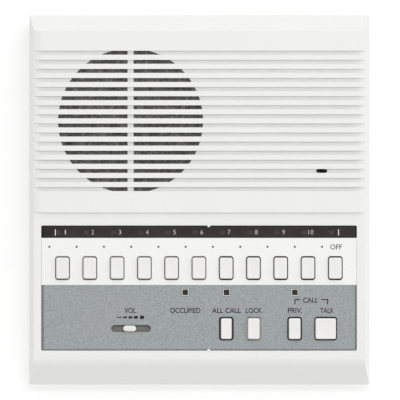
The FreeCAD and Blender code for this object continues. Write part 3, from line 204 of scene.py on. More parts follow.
WHITE = (0.835, 0.835, 0.825)
case_white = moulding("case_white", WHITE, rough=0.48, grain=1400.0, relief=0.10, mottle=0.012, crease_dust_shade=0.16, crease_dust_shade_colour=(0.50, 0.49, 0.46))
cover_white = moulding("cover_white", (0.70, 0.70, 0.68), rough=0.55, grain=1100.0, relief=0.35, mottle=0.02, crease_dust_shade=0.25, crease_dust_shade_colour=(0.36, 0.35, 0.32))
key_white = moulding("key_white", (0.83, 0.825, 0.81), rough=0.38, grain=2400.0, relief=0.05, mottle=0.012, crease_dust_shade=0.18, crease_dust_shade_colour=(0.45, 0.42, 0.38))
# Key skirts: the keys' own white plastic below the face, given three tones of painted shade to stand for the shade in
# the key gaps.
skirt_painted_mid_shade = moulding("key_skirt_light", (0.50, 0.49, 0.47), rough=0.5, grain=1800.0, relief=0.08, mottle=0.04)
skirt_painted_faint_shade = moulding("key_skirt_pale", (0.72, 0.71, 0.69), rough=0.5, grain=1800.0, relief=0.08, mottle=0.03)
skirt_painted_deep_shade = moulding("key_skirt_dark", (0.075, 0.07, 0.066), rough=0.5, grain=1800.0, relief=0.08, mottle=0.08)
plate_white = moulding("plate_white", (0.875, 0.875, 0.868), rough=0.42, grain=3000.0, relief=0.04, mottle=0.008)
bezel_white = moulding("bezel_white", (0.62, 0.62, 0.60), rough=0.35, grain=2400.0, relief=0.05)
shutter_grey = moulding("shutter_grey", (0.25, 0.24, 0.225), rough=0.55, grain=1500.0, relief=0.12, mottle=0.05)
black_nylon = moulding("black_nylon", (0.030, 0.030, 0.031), rough=0.5, grain=1500.0, relief=0.2, mottle=0.2)
phenolic = moulding("black_phenolic", (0.022, 0.021, 0.021), rough=0.38, grain=900.0, relief=0.12, mottle=0.25)
chip_epoxy = moulding("chip_epoxy", (0.020, 0.020, 0.022), rough=0.6, grain=2600.0, relief=0.25, mottle=0.2)
coil_tape = moulding("coil_tape", (0.62, 0.42, 0.06), rough=0.42, grain=700.0, relief=0.15, mottle=0.06)
sleeve = moulding("capacitor_sleeve", (0.020, 0.035, 0.12), rough=0.25, grain=1500.0, relief=0.05, mottle=0.1)
zinc = metal("zinc_plate", (0.60, 0.60, 0.60), rough=0.34)
nickel = metal("nickel_plate", (0.68, 0.67, 0.64), rough=0.26, stain=0.18)
brass = metal("nickel_brass", (0.62, 0.52, 0.34), rough=0.34, stain=0.25)
spring_wire = metal("spring_wire", (0.55, 0.55, 0.57), rough=0.28, stain=0.08)
tin = metal("tinned_pins", (0.66, 0.66, 0.64), rough=0.38)
sink_alu = metal("black_anodised", (0.05, 0.05, 0.055), rough=0.42, relief=0.12)
laminations = metal("laminations", (0.20, 0.19, 0.19), rough=0.45, brush=(40.0, 2400.0, 40.0), relief=0.3, stain=0.3)
ferrite = moulding("ferrite", (0.045, 0.045, 0.048), rough=0.62, grain=900.0, relief=0.35, mottle=0.25)


def rubber_mat():
    s = Shader("foot_rubber")
    fine = s.noise(1300.0, 3.0, 0.6)
    dust = s.noise(70.0, 4.0, 0.6)
    base = s.ramp(dust, [(0.35, (0.016, 0.016, 0.016)), (0.75, (0.055, 0.053, 0.050))])
    return s.finish(base, s.scaled(dust, 0.68, 0.9), s.bump(fine, 0.3, 0.0002))


def board_mat():
    s = Shader("board_laminate")
    weave = s.add("ShaderNodeTexWave", wave_type="BANDS", bands_direction="DIAGONAL")
    s.link(s.coord, weave.inputs["Vector"])
    weave.inputs["Scale"].default_value = 420.0
    weave.inputs["Distortion"].default_value = 0.4
    slow = s.noise(60.0, 3.0)
    base = s.ramp(slow, [(0.3, (0.018, 0.060, 0.028)), (0.7, (0.028, 0.095, 0.042))])
    base = s.mix(s.scaled(s.cells(240.0), 0.5, 0.0, (0.04, 0.10)), base, (0.55, 0.54, 0.50))
    return s.finish(base, s.scaled(slow, 0.3, 0.45), s.bump(weave.outputs["Fac"], 0.08, 0.0001))


def silver_mat():
    """Silver-grey paint with a fine dark and bright metallic speckle, and painted shade along its sides and bottom
    edge.
    """
    s = Shader("silver_speckle")
    slow = s.noise(22.0, 3.0, 0.5)
    fleck = s.noise(1150.0, 2.0, 0.7)
    tiny = s.noise(2300.0, 1.0, 0.5)
    base = s.ramp(fleck, [(0.28, (0.195, 0.218, 0.220)), (0.50, (0.316, 0.344, 0.348)), (0.74, (0.46, 0.49, 0.49))])
    base = s.mix(s.scaled(tiny, 0.0, 0.30, (0.45, 0.75)), base, (0.21, 0.228, 0.230))
    base = s.mix(s.scaled(slow, 0.0, 0.14), base, (0.37, 0.37, 0.355))
    # Painted shade: a narrow dark band along the two sides and the bottom edge of the plate.
    low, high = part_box("control_panel")
    parts = s.add("ShaderNodeSeparateXYZ")
    s.link(s.coord, parts.inputs["Vector"])
    side = s.math("SUBTRACT", s.math("ABSOLUTE", parts.outputs["X"]), high[0] - 0.0014)
    foot = s.math("SUBTRACT", low[1] + 0.0010, parts.outputs["Y"])
    edge = s.math("MAXIMUM", s.math("MULTIPLY", side, 1.0), foot)
    painted_edge_shade = s.math("MULTIPLY", s.scaled(edge, 0.0, 0.72, (0.0, 0.00035)), s.scaled(s.noise(400.0, 2.0), 0.8, 1.0))
    base = s.mix(painted_edge_shade, base, (0.085, 0.082, 0.078))
    return s.finish(base, s.scaled(fleck, 0.42, 0.62), s.bump(tiny, 0.06, 0.0001), metal=0.12)


def smoked_mat(name, alpha=None, lift=1.3):
    """Smoked plastic: dark, with haze and fine scratches, and painted shade along its sides and top edge; clearer over
    the lamps.
    """
    s = Shader(name)
    haze = s.noise(55.0, 4.0, 0.6)
    scratch = s.noise(1.0, 2.0, 0.6, s.stretch((110.0, 2600.0, 900.0)))
    base = s.ramp(haze, [(0.3, tone((0.022, 0.0205, 0.0175), lift)), (0.7, tone((0.034, 0.032, 0.028), lift))])
    base = s.mix(s.scaled(scratch, 0.0, 0.10, (0.60, 0.78)), base, (0.12, 0.115, 0.11))
    # Painted shade: a narrow darker band along the two sides and the top edge of the window.
    low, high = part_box("call_window")
    parts = s.add("ShaderNodeSeparateXYZ")
    s.link(s.coord, parts.inputs["Vector"])
    side = s.math("SUBTRACT", s.math("ABSOLUTE", parts.outputs["X"]), high[0] - 0.0010)
    head = s.math("SUBTRACT", parts.outputs["Y"], high[1] - 0.0009)
    base = s.mix(s.scaled(s.math("MAXIMUM", side, head), 0.0, 0.75, (0.0, 0.0004)), base, (0.006, 0.006, 0.0055))
    if alpha is not None:
        s.bsdf.inputs["Alpha"].default_value = alpha
    return s.finish(base, s.scaled(haze, 0.42, 0.56), s.bump(scratch, 0.03, 0.0001), shine=0.07)


def capsule_mat():
    """Aluminium can with black felt over its front and in its port."""
    s = Shader("capsule_can")
    up = FACE.to_3x3() @ Vector((0, 0, 1))
    front = max(v.co.dot(up) for v in NODES["mic_capsule"].data.vertices)
    height = s.add("ShaderNodeVectorMath", operation="DOT_PRODUCT")
    s.link(s.coord, height.inputs[0])
    height.inputs[1].default_value = up
    felt = s.scaled(height.outputs["Value"], 0.0, 1.0, (front - 0.00085, front - 0.00075))
    fibre = s.noise(2200.0, 3.0, 0.7)
    patch = s.noise(90.0, 4.0, 0.6)
    bare = s.ramp(patch, [(0.3, (0.58, 0.58, 0.59)), (0.7, (0.68, 0.68, 0.69))])
    base = s.mix(felt, bare, s.ramp(fibre, [(0.35, (0.010, 0.010, 0.010)), (0.7, (0.030, 0.029, 0.028))]))
    s.put(s.bsdf.inputs["Metallic"], s.math("SUBTRACT", 1.0, felt))
    rough = s.math("ADD", s.math("MULTIPLY", felt, 0.6), s.scaled(patch, 0.25, 0.38))
    s.put(s.bsdf.inputs["Base Color"], base)
    s.put(s.bsdf.inputs["Roughness"], rough)
    s.link(s.bump(fibre, 0.2, 0.0001), s.bsdf.inputs["Normal"])
    return s.mat


def cloth_mat():
    """Dark grey acoustic cloth: open weave with tufts and paler threads."""
    s = Shader("acoustic_cloth")
    warp = s.add("ShaderNodeTexWave", wave_type="BANDS", bands_direction="X")
    weft = s.add("ShaderNodeTexWave", wave_type="BANDS", bands_direction="Y")
    for wave in (warp, weft):
        s.link(s.coord, wave.inputs["Vector"])
        wave.inputs["Scale"].default_value = 380.0
        wave.inputs["Distortion"].default_value = 1.2
        wave.inputs["Detail"].default_value = 1.0
    weave = s.math("MULTIPLY", warp.outputs["Fac"], weft.outputs["Fac"])
    tufts = s.noise(420.0, 4.0, 0.7)
    slow = s.noise(120.0, 3.0, 0.6)
    mixed = s.math("ADD", s.math("MULTIPLY", tufts, 0.75), s.math("MULTIPLY", slow, 0.35))
    base = s.ramp(mixed, [(0.38, (0.045, 0.044, 0.042)), (0.54, (0.150, 0.147, 0.141)), (0.70, (0.33, 0.322, 0.31))])
    base = s.mix(s.math("MULTIPLY", weave, 0.25), base, (0.17, 0.165, 0.16))
    return s.finish(base, 0.92, s.bump(s.math("ADD", weave, tufts), 0.7, 0.0005), sheen_weight=0.2)


def paper_mat(name, colour, scale=260.0):
    s = Shader(name)
    fibre = s.noise(scale, 5.0, 0.7, None, 0.6)
    base = s.ramp(fibre, [(0.3, tone(colour, 0.7)), (0.7, tone(colour, 1.3))])
    return s.finish(base, 0.9, s.bump(fibre, 0.4, 0.0004))


def lamp_mat(name, colour, rough=0.3, shine=0.5):
    s = Shader(name)
    cloud = s.noise(300.0, 3.0, 0.6)
    base = s.ramp(cloud, [(0.3, tone(colour, 0.8)), (0.7, tone(colour, 1.25))])
    return s.finish(base, s.scaled(cloud, rough - 0.05, rough + 0.1), s.bump(cloud, 0.05, 0.0001), shine=shine)


def ink_mat(name, colour, thin=0.06):
    """Printed ink: nearly even, slightly starved in places."""
    s = Shader(name)
    starve = s.noise(900.0, 3.0, 0.6)
    base = s.ramp(starve, [(0.3, tone(colour, 1 - thin * 2)), (0.7, tone(colour, 1 + thin * 2))])
    return s.finish(base, s.scaled(starve, 0.45, 0.6), s.bump(starve, 0.05, 0.00005), shine=0.2)


rubber = rubber_mat()
laminate = board_mat()
silver = silver_mat()
smoked = smoked_mat("smoked_window")
smoked_clear = smoked_mat("smoked_over_lamps", 0.22)
cloth_grey = cloth_mat()
can_alu = capsule_mat()
cone_paper = paper_mat("cone_paper", (0.035, 0.035, 0.034))
cap_felt = paper_mat("cap_felt", (0.02, 0.02, 0.02), 600.0)
lamp_red = lamp_mat("station_lamp", (0.155, 0.14, 0.124), 0.4, 0.2)
lamp_dark = lamp_mat("status_lamp", (0.022, 0.017, 0.020), 0.35, 0.22)
ink_dark = ink_mat("ink_dark", (0.020, 0.021, 0.022))
ink_black = ink_mat("ink_black", (0.014, 0.014, 0.015))
ink_light = ink_mat("ink_light", (0.52, 0.51, 0.49))
ink_white = ink_mat("ink_white", (0.78, 0.78, 0.77))


# ---- meshes ---------------------------------------------------------------
def add_object(name, mesh, body, mats, matrix=FACE, smooth=35):
    """Mesh in millimetres of the face frame becomes a piece in the row frame."""
    mesh.transform(Matrix.Scale(MM, 4))
    mesh.transform(matrix)
    mesh.update()
    item = bpy.data.objects.new(name, mesh)
    bpy.context.scene.collection.objects.link(item)
    for m in mats if isinstance(mats, (list, tuple)) else [mats]:
        mesh.materials.append(m)
    if smooth is not None:
        mesh.shade_smooth() if hasattr(mesh, "shade_smooth") else None
        mesh.set_sharp_from_angle(angle=math.radians(smooth))
    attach(item, body)
    return item


def refined(node, mats, body, width=0.25, segments=2, angle=28, suffix="_piece", outside=False):
    """Rounded-edge version of a machined or moulded CAD node, in its place. With outside, the underside stays as moulded."""
    source = NODES[node]
    mesh = source.data.copy()
    mesh.name = node + suffix
    mesh.materials.clear()
    work = bmesh.new()
    work.from_mesh(mesh)
    bmesh.ops.remove_doubles(work, verts=work.verts, dist=3e-6)
    up = FACE.to_3x3() @ Vector((0, 0, 1))

    def under(edge):
        return outside and any(face.normal.dot(up) < -0.5 for face in edge.link_faces)

    bmesh.ops.dissolve_limit(work, angle_limit=math.radians(1.0), verts=[], edges=[e for e in work.edges if not under(e)])
    weight = work.edges.layers.float.new("bevel_weight_edge")
    for e in work.edges:
        if len(e.link_faces) == 2 and not under(e) and e.calc_face_angle() > math.radians(angle):
            e[weight] = 1.0
    work.to_mesh(mesh)
    work.free()
    item = bpy.data.objects.new(node + suffix, mesh)
    bpy.context.scene.collection.objects.link(item)
    for m in mats if isinstance(mats, (list, tuple)) else [mats]:
        mesh.materials.append(m)
    mesh.attributes.remove(mesh.attributes["custom_normal"]) if "custom_normal" in mesh.attributes else None
    mod = item.modifiers.new("edges", "BEVEL")
    mod.limit_method = "WEIGHT"
    mod.width = width * MM
    mod.segments = segments
    mod.use_clamp_overlap = True
    mod.miter_outer = "MITER_ARC"
    mod.harden_normals = False
    bpy.context.view_layer.update()
    dg = bpy.context.evaluated_depsgraph_get()
    made = bpy.data.meshes.new_from_object(item.evaluated_get(dg))
    item.modifiers.clear()
    item.data = made
    made.shade_smooth()
    made.set_sharp_from_angle(angle=math.radians(40))
    even = item.modifiers.new("normals", "WEIGHTED_NORMAL")
    even.weight = 100
    even.keep_sharp = True
    bpy.context.view_layer.update()
    dg = bpy.context.evaluated_depsgraph_get()
    item.data = bpy.data.meshes.new_from_object(item.evaluated_get(dg))
    item.modifiers.clear()
    item.data.name = node + suffix
    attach(item, body)
    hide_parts(node)
    return item


def ring_points(half_w, half_h, radius, steps=5):
    """Corner-rounded rectangle, counter-clockwise."""
    radius = min(radius, half_w - 0.01, half_h - 0.01)
    points = []
    for cx, cy, start in ((half_w, half_h, 0), (-half_w, half_h, 90), (-half_w, -half_h, 180), (half_w, -half_h, 270)):
        ox = cx - math.copysign(radius, cx)
        oy = cy - math.copysign(radius, cy)
        for k in range(steps + 1):
            a = math.radians(start + 90 * k / steps)
            points.append((ox + radius * math.cos(a), oy + radius * math.sin(a)))
    return points


def loft(work, rings, cap_low=True, cap_high=True):
    """Skin through rings of (points, z)."""
    loops = []
    for points, z in rings:
        loops.append([work.verts.new((x, y, z)) for x, y in points])
    for a, b in zip(loops, loops[1:]):
        n = len(a)
        for i in range(n):
            work.faces.new((a[i], a[(i + 1) % n], b[(i + 1) % n], b[i]))
    if cap_low:
        work.faces.new(list(reversed(loops[0])))
    if cap_high:
        work.faces.new(loops[-1])
    return loops


def finished(work, name):
    bmesh.ops.recalc_face_normals(work, faces=work.faces)
    mesh = bpy.data.meshes.new(name)
    work.to_mesh(mesh)
    work.free()
    return mesh


def key_mesh(name, width, height, rise, inset, opening, lug):
    """Key cap with a broad rounded bevel and a faintly dished top, its flange and its stem, as one skin."""
    work = bmesh.new()
    hw, hh = width / 2, height / 2
    fw, fh = opening[0] / 2 + 0.6, opening[1] / 2 + 0.6
    rings = [(ring_points(2.5 - s, 4.5 - s, 0.35), z) for s, z in ((0.25, -21.0), (0.05, -20.8), (0.0, -20.6), (0.0, -7.0))]
    rings += [(ring_points(hw - s, hh - s, 1.0), z) for s, z in ((0.28, -7.0), (0.08, -6.9), (0.0, -6.7), (0.0, -4.2))]
    rings += [(ring_points(fw - s, fh - s, 2.0 - s), z) for s, z in ((0.12, -4.2), (0.0, -4.08), (0.0, -3.12), (0.12, -3.0))]
    profile = [(0.0, -3.0), (0.0, rise - 0.95), (0.03, rise - 0.62), (0.12, rise - 0.36),
               (0.28, rise - 0.18), (0.50, rise - 0.06), (inset - 0.08, rise - 0.01), (inset + 0.10, rise),
               (inset + 0.35, rise - 0.015), (inset + 0.95, rise - 0.07)]
    for step, z in profile:
        rings.append((ring_points(hw - step, hh - step, max(1.1 - step * 0.55, 0.35)), z))
    loft(work, rings)
    if lug:
        verts = [work.verts.new(p) for p in ((-0.8, 4.3, -15.4), (-0.8, 5.5, -16.2), (-0.8, 4.3, -17.8),
                                             (0.8, 4.3, -15.4), (0.8, 5.5, -16.2), (0.8, 4.3, -17.8))]
        for f in ((0, 1, 2), (5, 4, 3), (0, 3, 4, 1), (1, 4, 5, 2), (2, 5, 3, 0)):
            work.faces.new([verts[i] for i in f])
    # Faces more than 1.2 mm under the face take the second material, the painted-shade skirt.
    for face in work.faces:
        if face.calc_center_median().z < -1.2:
            face.material_index = 1
    return finished(work, name)


def at(u, v, w=0.0):
    return FACE @ Matrix.Translation((u * MM, v * MM, w * MM))


# ---- case and cover ---------------------------------------------------------
refined("front_case", case_white, "base", width=0.22, segments=3, outside=True)
refined("rear_cover", cover_white, "base", width=0.5, segments=2)
refined("rubber_feet", rubber, "base", width=0.5, segments=3)
refined("case_screws", zinc, "base", width=0.2, segments=2)

# inserts
window = refined("call_window", [smoked, smoked_clear], "base", width=0.12, segments=2)
refined("name_plate", plate_white, "base", width=0.12, segments=2)
refined("control_panel", silver, "base", width=0.2, segments=2)


def clear_patches(item):
    """Square clear patches of the window, one over each station lamp."""
    to_face = FACE.inverted()
    work = bmesh.new()
    work.from_mesh(item.data)
    half = 1.85

    def split(axis, place):
        geom = list(work.verts) + list(work.edges) + list(work.faces)
        point = [0.0, 0.0, 0.0]
        point[axis] = place * MM
        normal = [0.0, 0.0, 0.0]
        normal[axis] = 1.0
        bmesh.ops.bisect_plane(work, geom=geom, dist=1e-7, plane_co=FACE @ Vector(point),
                               plane_no=FACE.to_3x3() @ Vector(normal))

    for u in STATIONS:
        split(0, u - 2.4 - half)
        split(0, u - 2.4 + half)
    split(1, -21.5 - half)
    split(1, -21.5 + half)
    for face in work.faces:
        place = to_face @ face.calc_center_median() / MM
        if abs(place.y + 21.5) < half and any(abs(place.x - u + 2.4) < half for u in STATIONS):
            face.material_index = 1
    work.to_mesh(item.data)
    work.free()


clear_patches(window)


def nib(name, v):
    """Small rounded locating nib at a long side of the recess."""
    work = bmesh.new()
    rings = []
    for radius, z in ((1.10, -0.28), (1.10, -0.02), (1.04, 0.10), (0.88, 0.20), (0.60, 0.27), (0.25, 0.30)):
        rings.append(([(radius * math.cos(a), radius * math.sin(a)) for a in [2 * math.pi * k / 24 for k in range(24)]], z))
    loft(work, rings)
    return add_object(name, finished(work, name), "base", case_white, at(6.2, v), smooth=60)


nib("locating_nib_upper", -16.95)
nib("locating_nib_lower", -99.45)


# ---- keys -------------------------------------------------------------------
def place_key(node, u, v, width, height, rise, inset, opening, lug, skirt):
    item = add_object(node + "_piece", key_mesh(node + "_piece", width, height, rise, inset, opening, lug), node + "_body",
                      [key_white, skirt], at(u, v), smooth=50)
    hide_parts(node)
    return item


# Keys 1 to 6 get the mid-shade skirt and the rest the deep-shade one; all are painted shade of the same white plastic.
for i, u in enumerate(STATIONS):
    place_key("key_%d" % (i + 1) if i < 10 else "off_key", u, KEY_ROW, 8.4, 13.9, 3.0, 0.80, (9.8, 15.9), True,
              skirt_painted_mid_shade if i < 6 else skirt_painted_deep_shade)
place_key("all_call_key", 17.8, FUNCTION_ROW, 7.1, 13.7, 0.9, 0.7, (9.8, 15.7), False, skirt_painted_deep_shade)
place_key("lock_key", 35.9, FUNCTION_ROW, 7.7, 13.7, 3.4, 0.8, (9.8, 15.7), False, skirt_painted_faint_shade)
place_key("priv_key", 62.9, FUNCTION_ROW, 7.7, 13.7, 3.0, 0.8, (9.8, 15.7), False, skirt_painted_deep_shade)
place_key("talk_key", 83.4, FUNCTION_ROW, 13.5, 13.7, 3.0, 0.8, (15.1, 15.7), False, skirt_painted_deep_shade)


def knob_mesh():
    """Slider knob: stadium block with five cross ridges."""
    work = bmesh.new()
    profile = [(0.15, -4.2), (0.0, -4.0), (0.0, 1.35), (0.10, 1.62), (0.32, 1.78)]
    loft(work, [(ring_points(4.25 - s, 1.95 - s, 1.95 - s - 0.02, 8), z) for s, z in profile])
    for k in range(-2, 3):
        x = 1.25 * k
        rings = [(ring_points(0.46, 1.62, 0.3, 3), 1.5), (ring_points(0.44, 1.6, 0.3, 3), 1.95),
                 (ring_points(0.33, 1.5, 0.25, 3), 2.14), (ring_points(0.16, 1.34, 0.12, 3), 2.2)]
        loft(work, [([(px + x, py) for px, py in ring], z) for ring, z in rings])
    return finished(work, "volume_knob_piece")


knob = add_object("volume_knob_piece", knob_mesh(), "volume_slider", key_white, at(-46.0, -84.9), smooth=50)
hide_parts("volume_knob")
refined("volume_lever", black_nylon, "volume_slider", width=0.15)
if "volume_shutter" in NODES:
    refined("volume_shutter", shutter_grey, "volume_slider", width=0.08, segments=2)


# ---- leaf springs under the stems -------------------------------------------
def leaf_spring(name, u, v):
    """Bent strip with a screwed-down foot, its tip under the stem."""
    work = bmesh.new()
    upper = [(-4.2, -26.3), (-3.0, -26.3), (-1.75, -26.3)]
    lower = [(-4.2, -26.6), (-2.9, -26.6), (-1.6, -26.6)]
    for k in range(1, 13):
        t = k / 12
        upper.append((-1.75 + 4.25 * t, -26.3 + 5.24 * t))
        lower.append((-1.6 + 4.2 * t, -26.6 + 5.15 * t))
    upper += [(3.1, -21.10), (3.7, -21.21)]
    lower += [(3.1, -21.46), (3.6, -21.51)]
    stations = []
    for k, ((ya, za), (yb, zb)) in enumerate(zip(upper, lower)):
        half = 1.5 if k < len(upper) - 1 else 1.2
        stations.append([work.verts.new(p) for p in ((-half, ya, za), (half, ya, za), (half, yb, zb), (-half, yb, zb))])
    for a, b in zip(stations, stations[1:]):
        for i in range(4):
            work.faces.new((a[i], a[(i + 1) % 4], b[(i + 1) % 4], b[i]))
    work.faces.new(list(reversed(stations[0])))
    work.faces.new(stations[-1])
    mesh = finished(work, name)
    mesh.transform(Matrix.Scale(MM, 4))
    mesh.transform(at(u, v))
    mesh.materials.append(spring_wire)
    mesh.shade_smooth()
    mesh.set_sharp_from_angle(angle=math.radians(40))
    item = bpy.data.objects.new(name, mesh)
    bpy.context.scene.collection.objects.link(item)
    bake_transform(item)
    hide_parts("key_springs")
    return item


for i, u in enumerate(STATIONS):
    key = "key_%d" % (i + 1) if i < 10 else "off_key"
    leaf_spring(key + "_spring", u, KEY_ROW)
for key, u in (("all_call_key", 17.8), ("lock_key", 35.9), ("priv_key", 62.9), ("talk_key", 83.4)):
    leaf_spring(key + "_spring", u, FUNCTION_ROW)


# ---- lamps ------------------------------------------------------------------
refined("station_leds", lamp_red, "base", width=0.15)
refined("led_bezels", bezel_white, "base", width=0.3, segments=3)
refined("status_leds", lamp_dark, "base", width=0.2)


# ---- grille cloth -------------------------------------------------------------
def cloth_mesh():
    """Stretched round cloth with a slight uneven sag between its threads."""
    work = bmesh.new()
    rings, spokes = 26, 96
    centre = work.verts.new((0, 0, 0))
    previous = None
    for r in range(1, rings + 1):
        radius = 50.5 * r / rings
        loop = []
        for k in range(spokes):
            a = 2 * math.pi * k / spokes
            x, y = radius * math.cos(a), radius * math.sin(a)
            sag = 0.05 * math.sin(x * 0.9) * math.cos(y * 0.8) * (1 - (r / rings) ** 6)
            loop.append(work.verts.new((x, y, sag - 0.06)))
        for k in range(spokes):
            if previous is None:
                work.faces.new((centre, loop[k], loop[(k + 1) % spokes]))
            else:
                work.faces.new((previous[k], loop[k], loop[(k + 1) % spokes], previous[(k + 1) % spokes]))
        previous = loop
    mesh = bpy.data.meshes.new("grille_cloth_piece")
    work.to_mesh(mesh)
    work.free()
    return mesh


cloth = add_object("grille_cloth_piece", cloth_mesh(), "base", cloth_grey, at(-45.4, 52.1, -2.62), smooth=60)
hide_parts("grille_cloth")


# ---- pieces that stay as machined, with better finishes -------------------------
CARRIED = {
    "lamp_board": laminate, "switch_board": laminate, "amplifier_board": laminate,
    "switch_frame": black_nylon, "function_switches": black_nylon,
    "interlock_bar": zinc, "volume_pot": tin, "pot_pins": tin,
    "speaker_basket": zinc, "speaker_top_plate": zinc, "speaker_yoke": zinc, "speaker_clips": zinc,
    "speaker_magnet": ferrite, "speaker_cone": cone_paper, "dust_cap": cap_felt,
    "inner_screws": zinc, "board_screws": zinc, "mic_boot": rubber, "mic_capsule": can_alu,
    "capacitors": sleeve, "amplifier_chips": chip_epoxy, "heat_sink": sink_alu,
    "transformer_core": laminations, "transformer_coil": coil_tape,
    "terminal_strip": phenolic, "terminal_plates": brass, "terminal_screws": nickel,
    "power_inlet": phenolic, "inlet_pin": nickel,
}
for name, finish in CARRIED.items():
    target = NODES[name]
    target.data.materials.clear()
    target.data.materials.append(finish)


# ---- printed marks ------------------------------------------------------------
def text_mesh(name, string, height, width=None, thin=0.0, spacing=1.0):
    """Flat lettering of an exact height and width, centred, from the plain built-in face."""
    curve = bpy.data.curves.new(name, "FONT")
    curve.body = string
    curve.size = 10.0
    curve.offset = -thin
    curve.space_character = spacing
    curve.resolution_u = 6
    temp = bpy.data.objects.new(name + "_temp", curve)
    bpy.context.scene.collection.objects.link(temp)
    bpy.context.view_layer.update()
    dg = bpy.context.evaluated_depsgraph_get()
    mesh = bpy.data.meshes.new_from_object(temp.evaluated_get(dg))
    bpy.data.objects.remove(temp)
    bpy.data.curves.remove(curve)
    mesh.name = name
    xs = [v.co.x for v in mesh.vertices]
    ys = [v.co.y for v in mesh.vertices]
    sy = height / (max(ys) - min(ys))
    sx = width / (max(xs) - min(xs)) if width else sy
    cx, cy = (max(xs) + min(xs)) / 2, (max(ys) + min(ys)) / 2
    mesh.transform(Matrix.Diagonal((sx, sy, 1, 1)) @ Matrix.Translation((-cx, -cy, 0)))
    mesh.materials.clear()
    return mesh


TOP = -1.2 + 0.02 + 0.95          # upper face of the inserts
PRINT = TOP + 0.04


def label(name, string, u, v, height, width, ink, thin=-0.13, spacing=1.0):
    return add_object("print_" + name, text_mesh("print_" + name, string, height, width, thin, spacing), "base", ink,
                      at(u, v, PRINT), smooth=None)


def bars(name, rects, ink, w=PRINT):
    """Printed rectangles, given as (u low, u high, v low, v high)."""
    work = bmesh.new()
    for u0, u1, v0, v1 in rects:
        r = min(0.12, (u1 - u0) * 0.3, (v1 - v0) * 0.3)
        pts = ring_points((u1 - u0) / 2, (v1 - v0) / 2, r, 2)
        cx, cy = (u0 + u1) / 2, (v0 + v1) / 2
        work.faces.new([work.verts.new((x + cx, y + cy, 0)) for x, y in pts])
    mesh = bpy.data.meshes.new("print_" + name)
    work.to_mesh(mesh)
    work.free()
    return add_object("print_" + name, mesh, "base", ink, at(0, 0, w), smooth=None)


def dots(name, places, radius, ink):
    work = bmesh.new()
    for u, v in places:
        work.faces.new([work.verts.new((u + radius * math.cos(a), v + radius * math.sin(a), 0))
                        for a in [2 * math.pi * k / 20 for k in range(20)]])
    mesh = bpy.data.meshes.new("print_" + name)
    work.to_mesh(mesh)
    work.free()
    return add_object("print_" + name, mesh, "base", ink, at(0, 0, PRINT), smooth=None)


for i in range(10):
    wide = 1.7 if i < 9 else 3.4
    if i == 0:
        wide = 0.75
    label("number_%d" % (i + 1), str(i + 1), STATIONS[i] + 1.9, -21.3, 3.0, wide, ink_light, 0.04)
bars("window_marks", [(-95.3, -94.75, -23.5, -19.4), (91.6, 92.15, -23.5, -19.4)], ink_white)
dots("index_dots", [(-99.0 + 18 * k, -31.0) for k in range(11)], 0.66, ink_black)
label("off", "OFF", 90.25, -31.1, 3.4, 7.7, ink_dark, -0.06)
label("vol", "VOL", -45.6, -73.0, 3.4, 7.7, ink_dark)
label("occupied", "OCCUPIED", -9.3, -73.0, 3.4, 19.9, ink_dark)
label("all_call", "ALL CALL", 17.9, -73.0, 3.4, 19.0, ink_dark)
label("lock", "LOCK", 36.0, -73.0, 3.4, 10.6, ink_dark)
label("priv", "PRIV.", 63.1, -73.0, 3.4, 9.2, ink_dark)
label("talk", "TALK", 84.3, -73.0, 3.4, 9.2, ink_dark)
label("call", "CALL", 73.4, -66.2, 3.4, 9.8, ink_dark)
bars("bracket", [(63.1, 66.4, -66.15, -65.45), (62.75, 63.45, -69.0, -65.45), (80.6, 84.6, -66.15, -65.45), (84.25, 84.95, -69.0, -65.45)], ink_dark)
bars("volume_scale", [(-54.5, -51.3, -77.85, -77.25), (-50.3, -47.75, -78.1, -77.0), (-46.8, -44.1, -78.25, -76.85),
                      (-43.1, -40.6, -78.5, -76.6), (-39.2, -36.5, -78.65, -76.45)], ink_black)


# ---- stage ----------------------------------------------------------------------
def floor_mat():
    s = Shader("studio_floor")
    soft = s.noise(2.0, 2.0)
    base = s.ramp(soft, [(0.3, (0.49, 0.49, 0.49)), (0.7, (0.51, 0.51, 0.51))])
    s.bsdf.inputs["Emission Color"].default_value = (1, 1, 1, 1)
    s.bsdf.inputs["Emission Strength"].default_value = 0.53
    return s.finish(base, 0.9)


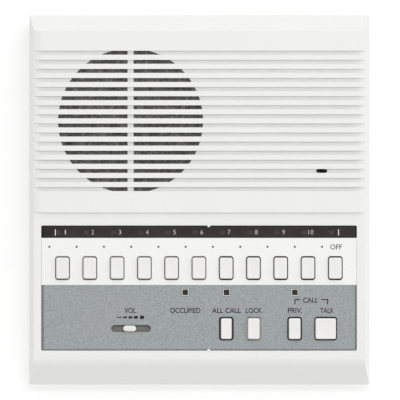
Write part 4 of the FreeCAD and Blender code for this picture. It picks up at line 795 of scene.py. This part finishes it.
mesh = bpy.data.meshes.new("floor")
mesh.from_pydata([(-6, -6, 0), (6, -6, 0), (6, 6, 0), (-6, 6, 0)], [], [(0, 1, 2, 3)])
floor = bpy.data.objects.new("floor", mesh)
bpy.context.scene.collection.objects.link(floor)
mesh.materials.append(floor_mat())

# An even studio sky, a little brighter on the right and behind.
world = bpy.data.worlds.new("studio")
bpy.context.scene.world = world
world.use_nodes = True
back = world.node_tree.nodes["Background"]
back.inputs["Color"].default_value = (1, 1, 1, 1)
heading = world.node_tree.nodes.new("ShaderNodeTexCoord")
lean = world.node_tree.nodes.new("ShaderNodeVectorMath")
lean.operation = "DOT_PRODUCT"
lean.inputs[1].default_value = (0.205, 0.205, 0.0)
level = world.node_tree.nodes.new("ShaderNodeMath")
level.operation = "ADD"
level.inputs[1].default_value = 0.835
world.node_tree.links.new(heading.outputs["Generated"], lean.inputs[0])
world.node_tree.links.new(lean.outputs["Value"], level.inputs[0])
world.node_tree.links.new(level.outputs["Value"], back.inputs["Strength"])
bpy.context.scene.view_settings.view_transform = "Standard"


def lamp(name, place, size, power, colour=(1, 1, 1)):
    data = bpy.data.lights.new(name, "AREA")
    data.shape = "RECTANGLE"
    data.size, data.size_y = size
    data.energy = power
    data.color = colour
    item = bpy.data.objects.new(name, data)
    bpy.context.scene.collection.objects.link(item)
    item.location = place
    item.rotation_mode = "QUATERNION"
    item.rotation_quaternion = (Vector((0, 0, 0.05)) - Vector(place)).to_track_quat("-Z", "Y")
    return item


lamp("key_light", tuple(FACE @ Vector((0.13, 0.42, 1.54))), (0.42, 0.30), 5)

camera_data = bpy.data.cameras.new("camera")
camera = bpy.data.objects.new("camera", camera_data)
bpy.context.scene.collection.objects.link(camera)
REACH = 9.0
camera_data.sensor_width = 36.0
camera_data.lens = 36.0 * REACH / 0.264
camera_data.clip_start = 0.5
camera_data.clip_end = 30.0
camera.matrix_world = FACE @ Matrix.Translation((0.43 * MM, -0.1 * MM, REACH))
bpy.context.scene.camera = camera
